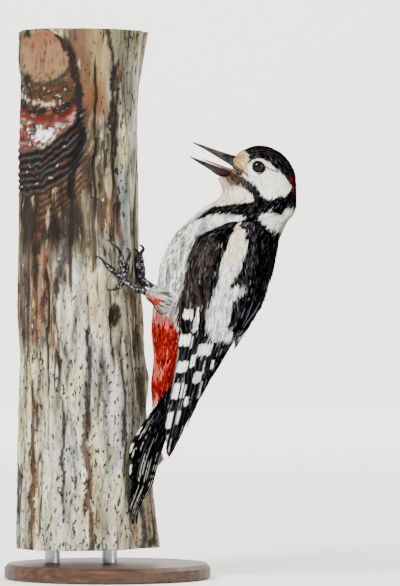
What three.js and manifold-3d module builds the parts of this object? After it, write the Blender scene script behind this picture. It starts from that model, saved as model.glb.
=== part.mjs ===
// Great spotted woodpecker (Dendrocopos major), adult male, life size, clinging to a cut length of trunk.
// The trunk stands on two short rods over a flat round display base.
// Millimetres, +Z up, origin at the middle of the base's underside. The bird clings to the +X side of the trunk.
import * as THREE from 'three';
import { mergeVertices, mergeGeometries } from 'three/addons/utils/BufferGeometryUtils.js';
import Module from 'manifold-3d';

const wasm = await Module();
wasm.setup();

// ---------------------------------------------------------------- driving sizes
const GAP = 0.3; // clearance between touching pieces
const BASE_RADIUS = 54;
const BASE_THICK = 8;
const ROD_RADIUS = 4;
const ROD_SPREAD = 15;
const ROD_LENGTH = 8;
const TRUNK_FOOT = BASE_THICK + ROD_LENGTH;
const TRUNK_TOP = 286.3;
const TRUNK_X = -13.8; // the trunk's axis, left of the base's middle
const BIRD_TURN = -28; // degrees about the trunk's axis from +X to the bird's mid-plane
const HEAD_PIVOT = 108; // distance from the trunk's axis of the upright axis that the head turns on
const BODY_SIDES = 26;

const RAD = Math.PI / 180;
const mix = THREE.MathUtils.lerp;
const smooth = THREE.MathUtils.smoothstep;

// ---------------------------------------------------------------- colours
const paint = (color, roughness = 0.8, metalness = 0) =>
  new THREE.MeshStandardMaterial({ color, roughness, metalness });
const BLACK_FEATHER = paint(0x17161a, 0.6);
const WHITE_FEATHER = paint(0xdcdad2, 0.85);
const RED_FEATHER = paint(0xb3201a, 0.8);
const BILL_HORN = paint(0x2b2c30, 0.35);
const TONGUE_FLESH = paint(0xc4726c, 0.5);
const EYE_GLASS = paint(0x2a0f0c, 0.08);
const LEG_SKIN = paint(0x6d6f70, 0.6);
const CLAW_HORN = paint(0x232325, 0.35);
const BARK = paint(0x8c8470, 0.95);
const STAND_WOOD = paint(0x3a2a20, 0.5);
const ROD_STEEL = paint(0x8f9296, 0.35, 1);

// ---------------------------------------------------------------- solids
// A closed geometry as a manifold solid.
function solid(geometry) {
  const bare = geometry.clone();
  bare.deleteAttribute('normal');
  bare.deleteAttribute('uv');
  const merged = mergeVertices(bare, 1e-4);
  return new wasm.Manifold(
    new wasm.Mesh({
      numProp: 3,
      vertProperties: new Float32Array(merged.attributes.position.array),
      triVerts: new Uint32Array(merged.index.array),
    }),
  );
}

// The largest closed surface of a solid: a scrap or a sealed hollow is dropped.
function largest(shape) {
  return shape.decompose().sort((a, b) => b.volume() - a.volume())[0];
}

// A named mesh from a manifold solid.
function node(name, shape, material) {
  const { numProp, numVert, vertProperties, triVerts } = largest(shape).getMesh();
  const position = new Float32Array(numVert * 3);
  for (let i = 0; i < numVert; i++) position.set(vertProperties.subarray(i * numProp, i * numProp + 3), i * 3);
  const geometry = new THREE.BufferGeometry();
  geometry.setAttribute('position', new THREE.BufferAttribute(position, 3));
  geometry.setIndex(new THREE.BufferAttribute(new Uint32Array(triVerts), 1));
  geometry.computeVertexNormals();
  const mesh = new THREE.Mesh(geometry, material);
  mesh.name = name;
  return mesh;
}

const union = (shapes) => wasm.Manifold.union(shapes);

// A geometry from points and triangles.
function fromFaces(points, faces) {
  const geometry = new THREE.BufferGeometry().setFromPoints(points);
  geometry.setIndex(faces.flat());
  return geometry;
}

// Turns a closed geometry so that its faces point outwards.
function facingOut(geometry) {
  const p = geometry.attributes.position;
  const index = geometry.index.array;
  const [a, b, c] = [new THREE.Vector3(), new THREE.Vector3(), new THREE.Vector3()];
  let volume = 0;
  for (let i = 0; i < index.length; i += 3) {
    a.fromBufferAttribute(p, index[i]);
    b.fromBufferAttribute(p, index[i + 1]);
    c.fromBufferAttribute(p, index[i + 2]);
    volume += a.dot(b.cross(c));
  }
  if (volume < 0) {
    for (let i = 0; i < index.length; i += 3) [index[i + 1], index[i + 2]] = [index[i + 2], index[i + 1]];
  }
  return geometry;
}

// A closed skin over a row of rings, each a list of the same number of points, with fans over both ends.
function loft(rings) {
  const n = rings[0].length;
  const points = rings.flat();
  const middle = (ring) => ring.reduce((sum, p) => sum.add(p), new THREE.Vector3()).divideScalar(n);
  const first = points.push(middle(rings[0])) - 1;
  const last = points.push(middle(rings.at(-1))) - 1;
  const faces = [];
  for (let r = 0; r + 1 < rings.length; r++) {
    for (let i = 0; i < n; i++) {
      const j = (i + 1) % n;
      faces.push([r * n + i, r * n + j, (r + 1) * n + j], [r * n + i, (r + 1) * n + j, (r + 1) * n + i]);
    }
  }
  const end = (rings.length - 1) * n;
  for (let i = 0; i < n; i++) {
    const j = (i + 1) % n;
    faces.push([first, j, i], [last, end + i, end + j]);
  }
  return facingOut(fromFaces(points, faces));
}

// A thin closed plate between two grids of points, split into triangles alike on both faces.
function plate(top, bottom) {
  const rows = top.length;
  const cols = top[0].length;
  const at = (side, r, c) => side * rows * cols + r * cols + c;
  const faces = [];
  for (let r = 0; r + 1 < rows; r++) {
    for (let c = 0; c + 1 < cols; c++) {
      faces.push([at(0, r, c), at(0, r + 1, c), at(0, r + 1, c + 1)]);
      faces.push([at(0, r, c), at(0, r + 1, c + 1), at(0, r, c + 1)]);
      faces.push([at(1, r, c), at(1, r + 1, c + 1), at(1, r + 1, c)]);
      faces.push([at(1, r, c), at(1, r, c + 1), at(1, r + 1, c + 1)]);
    }
  }
  const rim = [];
  for (let c = 0; c < cols - 1; c++) rim.push([0, c]);
  for (let r = 0; r < rows - 1; r++) rim.push([r, cols - 1]);
  for (let c = cols - 1; c > 0; c--) rim.push([rows - 1, c]);
  for (let r = rows - 1; r > 0; r--) rim.push([r, 0]);
  rim.forEach(([r, c], i) => {
    const [s, d] = rim[(i + 1) % rim.length];
    faces.push([at(0, r, c), at(0, s, d), at(1, s, d)], [at(0, r, c), at(1, s, d), at(1, r, c)]);
  });
  return facingOut(fromFaces([...top.flat(), ...bottom.flat()], faces));
}

// A round tapering tube through the points of a path, with its own radius at each point.
function taper(path, radii, sides, flat = 1) {
  const rings = path.map((p, i) => {
    const ahead = path[Math.min(i + 1, path.length - 1)].clone();
    const along = ahead.sub(path[Math.max(i - 1, 0)]).normalize();
    const side = new THREE.Vector3(0, 1, 0).cross(along);
    if (side.length() < 0.2) side.set(0, 0, 1).cross(along);
    side.normalize();
    const up = along.clone().cross(side);
    return Array.from({ length: sides }, (_, k) => {
      const a = (k / sides) * 2 * Math.PI;
      return p
        .clone()
        .addScaledVector(side, Math.cos(a) * radii[i] * flat)
        .addScaledVector(up, Math.sin(a) * radii[i]);
    });
  });
  return loft(rings);
}

// The value at x of a table of [x, value] pairs in rising order, joined by straight lines.
function along(table, x) {
  if (x <= table[0][0]) return table[0][1];
  for (let i = 1; i < table.length; i++) {
    const [[x0, v0], [x1, v1]] = [table[i - 1], table[i]];
    if (x <= x1) return mix(v0, v1, (x - x0) / (x1 - x0));
  }
  return table.at(-1)[1];
}

// ---------------------------------------------------------------- trunk
// Radius of the smooth trunk at three places round it, against height: away from the bird, where the
// tail presses, and on the flared ridge behind the bird's tail.
const PLAIN_RADIUS = 32.4;
const TAIL_SIDE = [
  [16, 30.6], [29, 30.2], [44, 30.4], [57, 31.4], [72, 33], [97, 34], [128, 32.5], [154, 30.2],
  [189, 28.6], [220, 28.8], [256, 30.6], [286, 33.8],
];
const RIDGE = [
  [16, 12], [36, 9.5], [50, 7.5], [57, 8.5], [62, 12.5], [68, 10], [76, 3.5], [90, 1.5], [105, 3.5], [118, 1.5],
  [150, 0.8], [200, 0.5], [286, 1],
];
const RIDGE_AT = 12; // degrees round the trunk from +X
const KNOT = { turn: -124, height: 272, wide: 27, tall: 14.5 }; // degrees and millimetres
const HOLLOW = { turn: -52, height: 135, wide: 9, tall: 7, deep: 2.2 }; // a small dark hole under the near foot
const TRUNK_SIDES = 44;
const CRACK_WIDE = 360 / TRUNK_SIDES; // degrees from a crack's middle to its lip
// The bark's main cracks: the side of the trunk that each runs down, counted from +X, its two heights and its depth.
const CRACKS = [
  [24, 148, 212, 1.7], [26, 60, 122, 1.5], [27, 176, 236, 1.3], [29, 96, 160, 1.7], [31, 34, 92, 1.5],
  [32, 150, 206, 1.5], [34, 78, 132, 1.6], [35, 190, 268, 1.6], [37, 110, 150, 1.3], [38, 206, 262, 1.4],
  [2, 120, 200, 1.5], [5, 60, 130, 1.6], [8, 170, 250, 1.5], [11, 90, 160, 1.6], [14, 190, 262, 1.5],
  [16, 50, 120, 1.6], [19, 130, 200, 1.6], [21, 220, 276, 1.4],
];

const bump = (x, width) => Math.exp(-((x / width) ** 2));
const turnBetween = (a, b) => THREE.MathUtils.euclideanModulo(a - b + 180, 360) - 180;

// How deep the main cracks are at a place: each is a groove that runs out at both ends.
function crackDepth(turn, z) {
  return Math.max(
    ...CRACKS.map(([side, low, high, deep]) => {
      const across = 1 - Math.abs(turnBetween(turn, side * CRACK_WIDE)) / CRACK_WIDE;
      return deep * Math.max(0, across) * smooth(z, low - 8, low + 8) * (1 - smooth(z, high - 8, high + 8));
    }),
  );
}

// How far the bark's ridges stand, from 0 where feet or tail press to 1.
function barkShare(turn, z) {
  const feet = bump(turnBetween(turn, BIRD_TURN), 55) * bump(z - 162, 22);
  const tail = bump(turnBetween(turn, BIRD_TURN), 30) * (1 - smooth(z, 60, 90));
  return 1 - 0.85 * Math.max(feet, tail);
}

function trunkRadius(turn, z) {
  const toBird = turnBetween(turn, BIRD_TURN);
  const near = smooth(Math.cos(toBird * RAD), -0.2, 0.85);
  let r = mix(PLAIN_RADIUS, along(TAIL_SIDE, z), near);
  r += along(RIDGE, z) * bump(turnBetween(turn, RIDGE_AT), 17);
  const lean = 9 * Math.sin(z / 41) + 0.06 * z;
  const furrows = 0.75 * Math.cos(11 * (turn + lean) * RAD) + 0.45 * Math.cos(17 * (turn - 0.7 * lean) * RAD + z / 17);
  const swell = 0.8 * Math.sin(z / 23 + 2 * turn * RAD);
  r += (furrows + swell - crackDepth(turn, z)) * barkShare(turn, z);
  const knot = Math.hypot(turnBetween(turn, KNOT.turn) / KNOT.wide, (z - KNOT.height) / KNOT.tall);
  r += 3.2 * bump(knot - 1.05, 0.28) - 1.4 * (1 - smooth(knot, 0.5, 1));
  const under = bump(turnBetween(turn, KNOT.turn), 38) * smooth(z, 196, 216) * (1 - smooth(z, 240, 250));
  r += 1.3 * under * Math.cos((z - turnBetween(turn, KNOT.turn) ** 2 / 55) / 2.1);
  const hole = Math.hypot(turnBetween(turn, HOLLOW.turn) / HOLLOW.wide, (z - HOLLOW.height) / HOLLOW.tall);
  return r - HOLLOW.deep * (1 - smooth(hole, 0.5, 1.1));
}

// A point at a height above the bark, in the frame of the trunk's axis.
function onTrunk(turn, z, above = 0) {
  const r = trunkRadius(turn, z) + above;
  return new THREE.Vector3(r * Math.cos(turn * RAD), r * Math.sin(turn * RAD), z);
}

function trunkSolid(grow = 0) {
  const sides = TRUNK_SIDES;
  const levels = 26;
  const rings = Array.from({ length: levels }, (_, i) => {
    const z = mix(TRUNK_FOOT, TRUNK_TOP, i / (levels - 1));
    return Array.from({ length: sides }, (_, k) => onTrunk((k * 360) / sides, z, grow));
  });
  return solid(loft(rings));
}

// The trunk grown by the clearance, in the bird's frame.
const barkGrown = () => trunkSolid(CLEAR).rotate([0, 0, -BIRD_TURN]);

// ---------------------------------------------------------------- bird's frame
// Inside the bird group x runs away from the trunk's axis through the bird's back, y to its right and z up.
// Stations of the body from the tail's root to the bill: the back's and the front's outline in the
// mid-plane as [x, z], half the width, and degrees that the neck and head turn towards the left.
const STATIONS = [
  { name: 'tail_root', back: [64.7, 101.7], front: [43.3, 91.0], half: 8, turn: 0 },
  { name: 'vent', back: [73.4, 109.8], front: [43.0, 101.7], half: 11.5, turn: 0 },
  { name: 'rump', back: [81.3, 120.0], front: [45.1, 116.0], half: 15, turn: 0 },
  { name: 'lower_back', back: [92.5, 131.3], front: [43.8, 129.2], half: 17.5, turn: 0 },
  { name: 'belly', back: [100.0, 142.5], front: [44.8, 141.5], half: 19, turn: 0 },
  { name: 'mid_back', back: [106.2, 155.7], front: [47.4, 153.7], half: 19.8, turn: 0 },
  { name: 'breast', back: [110.8, 168.0], front: [49.7, 165.9], half: 20, turn: 0 },
  { name: 'shoulder', back: [115.2, 177.7], front: [56.0, 177.7], half: 19.6, turn: 0 },
  { name: 'lower_neck', back: [118.9, 184.8], front: [64.7, 185.8], half: 18, turn: 3 },
  { name: 'mid_neck', back: [121.6, 189.9], front: [74.4, 193.0], half: 15.8, turn: 8 },
  { name: 'ruff', back: [123.8, 195.0], front: [82.8, 197.1], half: 14.2, turn: 14 },
  { name: 'throat', back: [124.4, 201.1], front: [86.0, 201.1], half: 13.4, turn: 18 },
  { name: 'nape', back: [123.5, 209.3], front: [85.9, 204.2], half: 13.2, turn: 20 },
  { name: 'hind_crown', back: [120.4, 216.2], front: [85.2, 205.6], half: 13.1, turn: 20 },
  { name: 'crown', back: [115.2, 221.5], front: [84.6, 206.5], half: 12.9, turn: 20 },
  { name: 'mid_crown', back: [108.5, 224.4], front: [84.2, 207.3], half: 12.3, turn: 20 },
  { name: 'fore_crown', back: [102.9, 224.6], front: [84.0, 207.8], half: 11, turn: 20 },
  { name: 'forehead', back: [98.5, 223.4], front: [84.4, 208.1], half: 8.8, turn: 20 },
  { name: 'bill_root', back: [95.4, 221.8], front: [85.4, 208.1], half: 6.4, turn: 20 },
  { name: 'bill_base', back: [93.6, 220.0], front: [86.9, 208.3], half: 4.9, turn: 20 },
];

// A smooth row of stations: its value and its surface can be read at any number between two of them.
function makeGuide(stations) {
  const last = stations.length - 1;
  const curve = (pick) => new THREE.CatmullRomCurve3(stations.map(pick), false, 'catmullrom', 0.5);
  const backs = curve((s) => new THREE.Vector3(s.back[0], s.back[1], s.half));
  const fronts = curve((s) => new THREE.Vector3(s.front[0], s.front[1], s.turn));
  return (t) => {
    const b = backs.getPoint(THREE.MathUtils.clamp(t / last, 0, 1));
    const f = fronts.getPoint(THREE.MathUtils.clamp(t / last, 0, 1));
    return { back: [b.x, b.y], front: [f.x, f.y], half: b.z, turn: f.z };
  };
}

const body = makeGuide(STATIONS);

// The point of a station's oval at an angle from the back (0) round the left side (90) to the front (180),
// moved outwards by `out` and along the oval's own axis by `ahead`.
function onOval(station, angle, out = 0, ahead = 0) {
  const [bx, bz] = station.back;
  const [fx, fz] = station.front;
  const deep = Math.hypot(bx - fx, bz - fz) / 2;
  const up = [(bx - fx) / (2 * deep), (bz - fz) / (2 * deep)];
  const reach = (deep + out) * Math.cos(angle * RAD);
  const x = (bx + fx) / 2 + up[0] * reach - up[1] * ahead;
  const z = (bz + fz) / 2 + up[1] * reach + up[0] * ahead;
  const y = -(station.half + out) * Math.sin(angle * RAD);
  const turn = station.turn * RAD;
  const arm = x - HEAD_PIVOT;
  return new THREE.Vector3(
    HEAD_PIVOT + arm * Math.cos(turn) - y * Math.sin(turn),
    arm * Math.sin(turn) + y * Math.cos(turn),
    z,
  );
}

// A head point given in the head's own mid-plane as x and z, y to the head's right.
function inHead(x, y, z) {
  const turn = 20 * RAD;
  const arm = x - HEAD_PIVOT;
  return new THREE.Vector3(
    HEAD_PIVOT + arm * Math.cos(turn) - y * Math.sin(turn),
    arm * Math.sin(turn) + y * Math.cos(turn),
    z,
  );
}

const oval = (station, out, ahead) =>
  Array.from({ length: BODY_SIDES }, (_, i) => onOval(station, (i * 360) / BODY_SIDES, out, ahead));

// A length of the body between two stations, its ends moved along by `start` and `end`.
function bodyLength({ from, to, rows }, out = 0, start = 0, end = 0) {
  const rings = [];
  for (let i = 0; i <= rows; i++) {
    const ahead = i === 0 ? start : i === rows ? end : 0;
    rings.push(oval(body(mix(from, to, i / rows)), out, ahead));
  }
  return solid(loft(rings));
}

const TORSO = { from: 0, to: 8.3, rows: 20 };
const NECK = { from: 8.3, to: 11.2, rows: 7 };
const HEAD = { from: 11.2, to: STATIONS.length - 1, rows: 14 };
const CLEAR = GAP + 0.06; // growth of a faceted form that keeps the clearance everywhere

// The body grown all round by the clearance.
const bodyGrown = () =>
  union([bodyLength(TORSO, CLEAR, -CLEAR, CLEAR), bodyLength(NECK, CLEAR), bodyLength(HEAD, CLEAR, 0, CLEAR)]);

// ---------------------------------------------------------------- head
const EYE = { x: 106.3, z: 214.6, side: 9.2, radius: 4 };
const LID = { ring: 3.3, tube: 0.75 };
const GAPE = [98.2, 209.8]; // corner of the mouth, x and z
const UPPER_TIP = [70.9, 227.1];
const LOWER_TIP = [69.4, 219.7];

function ball(centre, radius, sides, levels) {
  return solid(new THREE.SphereGeometry(radius, sides, levels).translate(centre.x, centre.y, centre.z));
}

const eyeCentre = (sign) => inHead(EYE.x, sign * EYE.side, EYE.z);

// How far the head's side stands from its mid-plane at a place given in the mid-plane.
function headSide(x, z) {
  let best = { miss: Infinity, side: 0 };
  for (let t = 11; t <= 18; t += 0.1) {
    for (let angle = 20; angle <= 120; angle += 2) {
      const p = onOval({ ...body(t), turn: 0 }, angle);
      const miss = Math.hypot(p.x - x, p.z - z);
      if (miss < best.miss) best = { miss, side: -p.y };
    }
  }
  return best.side;
}

// The lids' rim: a ring half sunk in the head's side round the eye.
function eyelid(sign) {
  const around = 12;
  const across = 5;
  const points = [];
  const faces = [];
  for (let i = 0; i < around; i++) {
    const a = (i / around) * 2 * Math.PI;
    const side = headSide(EYE.x + LID.ring * Math.cos(a), EYE.z + LID.ring * Math.sin(a));
    for (let k = 0; k < across; k++) {
      const b = (k / across) * 2 * Math.PI;
      const r = LID.ring + LID.tube * Math.cos(b);
      points.push(inHead(EYE.x + r * Math.cos(a), sign * (side - 0.1 + LID.tube * Math.sin(b)), EYE.z + r * Math.sin(a)));
      const at = (u, v) => (u % around) * across + (v % across);
      faces.push([at(i, k), at(i + 1, k), at(i + 1, k + 1)], [at(i, k), at(i + 1, k + 1), at(i, k + 1)]);
    }
  }
  return solid(facingOut(fromFaces(points, faces)));
}

// The open mouth: a wedge from its corner out between the two jaws.
function mouthWedge() {
  const reach = 1.1;
  const corner = (tip) => [GAPE[0] + (tip[0] - GAPE[0]) * reach, GAPE[1] + (tip[1] - GAPE[1]) * reach];
  const outline = [GAPE, corner([UPPER_TIP[0], UPPER_TIP[1] - 0.5]), corner([LOWER_TIP[0], LOWER_TIP[1] + 0.4])];
  const ringAt = (y) => outline.map(([x, z]) => inHead(x, y, z));
  return solid(loft([ringAt(-16), ringAt(16)]));
}

function headSolid() {
  const skull = bodyLength(HEAD, 0, GAP);
  const lids = [eyelid(1), eyelid(-1)];
  const sockets = [1, -1].map((sign) => ball(eyeCentre(sign), EYE.radius + 0.5, 12, 8));
  return union([skull, ...lids]).subtract(union([...sockets, mouthWedge()]));
}

// ---------------------------------------------------------------- bill
// Each jaw's outline in the head's mid-plane from its root to its tip: ridge and cutting edge as [x, z],
// and half its width.
const UPPER_BILL = [
  { ridge: [93.3, 219.9], edge: [90.7, 215.1], half: 4.1 },
  { ridge: [87.4, 221.6], edge: [87.0, 217.4], half: 3.4 },
  { ridge: [82.3, 223.3], edge: [82.3, 220.2], half: 2.6 },
  { ridge: [77.1, 225.1], edge: [77.1, 223.3], half: 1.7 },
  { ridge: [71.0, 227.2], edge: [71.0, 226.5], half: 0.55 },
];
const LOWER_BILL = [
  { ridge: [86.9, 208.6], edge: [89.2, 212.5], half: 3.9 },
  { ridge: [83.1, 210.2], edge: [85.2, 213.9], half: 3.3 },
  { ridge: [79.5, 212.8], edge: [80.7, 215.6], half: 2.4 },
  { ridge: [74.5, 215.9], edge: [74.9, 217.8], half: 1.5 },
  { ridge: [69.5, 219.2], edge: [69.5, 219.8], half: 0.5 },
];
// The section of a jaw from the ridge round one side to the cutting edge: share of the width and of the depth.
const JAW_SECTION = [[0, 0], [0.4, 0.08], [0.72, 0.34], [0.95, 0.72], [1, 1], [0.7, 0.96]];

function jaw(stations) {
  const steps = 9;
  const ridge = new THREE.CatmullRomCurve3(stations.map((s) => new THREE.Vector3(s.ridge[0], s.half, s.ridge[1])));
  const edge = new THREE.CatmullRomCurve3(stations.map((s) => new THREE.Vector3(s.edge[0], s.half, s.edge[1])));
  const rings = Array.from({ length: steps }, (_, i) => {
    const [r, e] = [ridge.getPoint(i / (steps - 1)), edge.getPoint(i / (steps - 1))];
    const side = (sign) =>
      JAW_SECTION.map(([w, d]) => inHead(mix(r.x, e.x, d), sign * w * r.y, mix(r.z, e.z, d)));
    const right = side(1);
    const left = side(-1).slice(1).reverse();
    return [...right, ...left];
  });
  return solid(loft(rings));
}

const NOSTRIL = { x: 90.6, z: 218.2, side: 3.5, radius: 0.75 };

function upperBill() {
  const pits = [1, -1].map((sign) => ball(inHead(NOSTRIL.x, sign * NOSTRIL.side, NOSTRIL.z), NOSTRIL.radius, 8, 6));
  return jaw(UPPER_BILL).subtract(union([...pits, bodyGrown()]));
}

const lowerBill = () => jaw(LOWER_BILL).subtract(bodyGrown());

function tongue() {
  const path = [[92.6, 212], [88.5, 213.5], [84, 215.15], [79.5, 216.9], [76, 218.2]];
  const points = path.map(([x, z]) => inHead(x, 0, z));
  return solid(taper(points, [0.42, 0.5, 0.48, 0.4, 0.25], 8, 1)).subtract(bodyGrown());
}

// ---------------------------------------------------------------- wings
// Guide for the folded wing: the body's own stations where it lies against the body, and past the rump
// the hull that the wing tips keep over the tail.
const WING_TIPS = [
  { name: 'tip', back: [53.5, 64], front: [41, 62], half: 7.5, turn: 0 },
  { name: 'primaries', back: [59.5, 77], front: [43, 75], half: 9.5, turn: 0 },
  { name: 'over_tail', back: [65.5, 90], front: [44, 84], half: 11.3, turn: 0 },
  { name: 'secondaries', back: [72.5, 102], front: [44.5, 94], half: 13, turn: 0 },
  { name: 'over_vent', back: [78.3, 110.5], front: [44.5, 104], half: 14.6, turn: 0 },
  { name: 'over_rump', back: [84.6, 120.5], front: [45.3, 116.5], half: 16.3, turn: 0 },
];
const FIRST_SHARED = 3; // the body's first station that the wing follows
const wingGuide = makeGuide([...WING_TIPS, ...STATIONS.slice(FIRST_SHARED, FIRST_SHARED + 7)]);
// The wing's upper and lower edges as angles round the guide, against its stations.
const WING_UPPER = [[0, 7], [1, 5], [2, 4], [3, 4], [4, 5], [5, 7], [6, 12], [7, 19], [8, 27], [9, 34], [10, 41], [10.9, 52]];
const WING_LOWER = [[0, 50], [1, 63], [2, 73], [3, 81], [4, 85], [5, 87], [6, 90], [7, 93], [8, 97], [9, 99], [10, 102], [10.9, 84]];
const LIE = GAP + 0.15; // from the body to the wing's inner face
const VANE_THICK = 0.5;
const VANE_STEP = 0.82; // from one vane to the next one over it
const FLIGHT_COUNT = 13;
// Where each flight feather ends, in guide stations, against its share of the way up the wing.
const FLIGHT_TIPS = [
  [0, 1.1], [0.083, 0.45], [0.167, 0.05], [0.25, 0], [0.333, 0.6], [0.417, 1.25], [0.5, 1.85], [0.583, 2.45],
  [0.667, 2.95], [0.75, 3.4], [0.833, 3.9], [0.917, 4.4], [1, 4.9],
];

const wingAngle = (share, t) => Math.max(mix(along(WING_LOWER, t), along(WING_UPPER, t), share), 2.5);

// The share of the wing's width at which the feather number `share` lies: the flight feathers that reach
// past the shorter ones spread over the whole wing tip.
const spread = (share, t) => share * (1 + 0.78 * (1 - smooth(t, 1.6, 4.8)));

function onWing(share, t, out) {
  return onOval(wingGuide(t), wingAngle(share, t), LIE + out);
}

// One vane along the wing: a plate of three points across, tilted so that its lower edge lies over the
// vane below it and its upper edge under the one above.
function wingVane({ share, root, tip, pitch, layers, low, outline, rows = 5, lane = spread }) {
  const top = [];
  const bottom = [];
  for (let i = 0; i < rows; i++) {
    const s = i / (rows - 1);
    const t = mix(root, tip, s ** 0.85);
    const half = (pitch * layers * along(outline, s)) / 2;
    const lift = mix(low[0], low[1], s);
    const rise = VANE_STEP * layers * along(outline, s);
    const edges = [
      [half, lift + rise],
      [0, lift + rise / 2 + 0.1],
      [-half, lift],
    ];
    const across = (shift) =>
      edges.map(([move, out]) => onWing(lane(share, t) - move * (lane(1, t) / lane(1, root)), t, out - shift));
    top.push(across(0));
    bottom.push(across(VANE_THICK));
  }
  return solid(plate(top, bottom));
}

const FLIGHT_OUTLINE = [[0, 0.9], [0.5, 1], [0.82, 0.92], [0.95, 0.62], [1, 0.3]];
const COVERT_OUTLINE = [[0, 0.9], [0.6, 1], [0.85, 0.8], [1, 0.35]];

function flightFeathers() {
  return Array.from({ length: FLIGHT_COUNT }, (_, i) => {
    const share = i / (FLIGHT_COUNT - 1);
    return wingVane({
      share,
      root: 7.1,
      tip: along(FLIGHT_TIPS, share),
      pitch: 1 / (FLIGHT_COUNT - 1),
      layers: 2.3,
      low: [0.6, 0.6],
      outline: FLIGHT_OUTLINE,
      rows: 4,
    });
  });
}

// A tier of coverts or scapulars over a stretch of the wing.
function tier({ count, from, to, root, tip, stagger, layers, low, rows = 3 }) {
  return Array.from({ length: count }, (_, i) => {
    const share = mix(from, to, i / (count - 1));
    return wingVane({
      share,
      root,
      tip: tip + stagger * (i / (count - 1)),
      pitch: (to - from) / (count - 1),
      layers,
      low,
      outline: COVERT_OUTLINE,
      rows,
      lane: (x) => x,
    });
  });
}

const WING_TIERS = [
  { count: 7, from: 0.07, to: 0.86, root: 7.9, tip: 5.95, stagger: 0.1, layers: 1.7, low: [1.9, 2.9] },
  { count: 5, from: 0.1, to: 0.82, root: 8.9, tip: 7.15, stagger: 0.1, layers: 1.6, low: [2.0, 3.3] },
  { count: 4, from: 0.72, to: 1.04, root: 8.6, tip: 5.35, stagger: 0.35, layers: 1.7, low: [2.2, 3.9] },
];

// The wing's arm: a shell on the body's side that thins to its edges, which carries every vane.
function wingArm() {
  const rows = 8;
  const cols = 7;
  const thickAlong = [[6.45, 2.9], [7.2, 3.5], [8.5, 3.7], [9.6, 3.2], [10.3, 2.2], [10.85, 0.9]];
  const grid = (face) =>
    Array.from({ length: rows }, (_, r) => {
      const t = mix(6.45, 10.85, r / (rows - 1));
      return Array.from({ length: cols }, (_, c) => {
        const share = c / (cols - 1);
        const edge = Math.min(1, 0.35 + 2.6 * Math.min(share, 1 - share) ** 0.8);
        return onWing(share, t, face * along(thickAlong, t) * edge);
      });
    });
  return solid(plate(grid(1), grid(0)));
}

// The wing of one side: the left one as laid out, the right one its mirror image.
function wing(sign) {
  const left = union([wingArm(), ...flightFeathers(), ...WING_TIERS.flatMap(tier)]);
  return (sign < 0 ? left : left.mirror([0, 1, 0])).subtract(bodyGrown());
}

// ---------------------------------------------------------------- tail
// The tail's middle line from its root to its tips, as [x, z].
const TAIL_LINE = [[54.6, 96], [50, 89], [46.2, 82], [40.8, 69.6], [36.8, 56.8], [33.6, 44], [31.9, 29.3]];
const TAIL_HALVES = [
  { tip: 1, middle: 3.2, wide: 6, layer: 0 },
  { tip: 0.93, middle: 5.4, wide: 6.4, layer: 1 },
  { tip: 0.81, middle: 7.6, wide: 6.4, layer: 2 },
  { tip: 0.67, middle: 9.6, wide: 6, layer: 3 },
  { tip: 0.53, middle: 11, wide: 5.4, layer: 4 },
];
const TAIL_SPREAD = [[0, 0.42], [0.2, 0.68], [0.4, 0.95], [0.55, 1], [0.75, 0.86], [1, 0.6]];
const TAIL_OUTLINE = [[0, 0.8], [0.3, 1], [0.7, 0.95], [0.88, 0.7], [1, 0.16]];
const TAIL_STEP = 0.72;
const tailLine = new THREE.CatmullRomCurve3(TAIL_LINE.map(([x, z]) => new THREE.Vector3(x, 0, z)));

// A point of the tail: share of its length, sideways, and above its middle line.
function onTail(s, side, above) {
  const p = tailLine.getPointAt(s);
  const dir = tailLine.getTangentAt(s);
  const roof = above - 0.012 * side * side;
  return new THREE.Vector3(p.x - dir.z * roof, side, p.z + dir.x * roof);
}

function tailVane({ tip, middle, wide, layer }, sign) {
  const rows = 5;
  const start = 0.05;
  const top = [];
  const bottom = [];
  for (let i = 0; i < rows; i++) {
    const u = i / (rows - 1);
    const s = mix(start, tip, u);
    const centre = middle * along(TAIL_SPREAD, s);
    const half = (wide / 2) * along(TAIL_OUTLINE, u) * mix(0.8, 1, smooth(s, 0, 0.4));
    const level = -layer * TAIL_STEP * smooth(s, -0.1, 0.35);
    const edges = [
      [centre + half, level],
      [centre, level + 0.18],
      [centre - half, level],
    ];
    const across = (drop) => edges.map(([side, above]) => onTail(s, sign * side, above - drop));
    top.push(across(0));
    bottom.push(across(0.6));
  }
  return solid(plate(top, bottom));
}

// The fleshy root of the tail, face to face with the end of the body.
function tailStub() {
  const sides = 16;
  const end = body(0);
  const first = Array.from({ length: sides }, (_, i) => {
    const p = onOval(end, (i * 360) / sides, -1.6, -GAP);
    return p;
  });
  const ringAt = (s, deep, wide, level) =>
    Array.from({ length: sides }, (_, i) => {
      const a = (i * 360 * RAD) / sides;
      return onTail(s, -wide * Math.sin(a), level + deep * Math.cos(a));
    });
  return solid(loft([first, ringAt(0.1, 5.6, 7.4, -1.2), ringAt(0.2, 3.6, 8.2, -1.4), ringAt(0.29, 1.9, 8.4, -1.5)]));
}

function tailSolid() {
  const vanes = TAIL_HALVES.flatMap((half) => [1, -1].map((sign) => tailVane(half, sign)));
  return union([tailStub(), ...vanes]).subtract(union([bodyGrown(), barkGrown()]));
}

// ---------------------------------------------------------------- legs and feet
// Places in the bird's frame for a leg whose own side is +y; `sign` is 1 for the right leg, -1 for the left.
const HIP = [64, 9.5, 143];
const KNEE = [53.5, 10.5, 147.5];
const HEEL = [46.8, 10.3, 148.6];
const THIGH_RADII = [10, 9.4, 8, 6.3, 4.6, 3.2];
const PALM = [17, 156]; // degrees round the trunk from the mid-plane, and height
const TOE_LIFT = 1.75; // a toe's middle line above the bark
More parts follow.
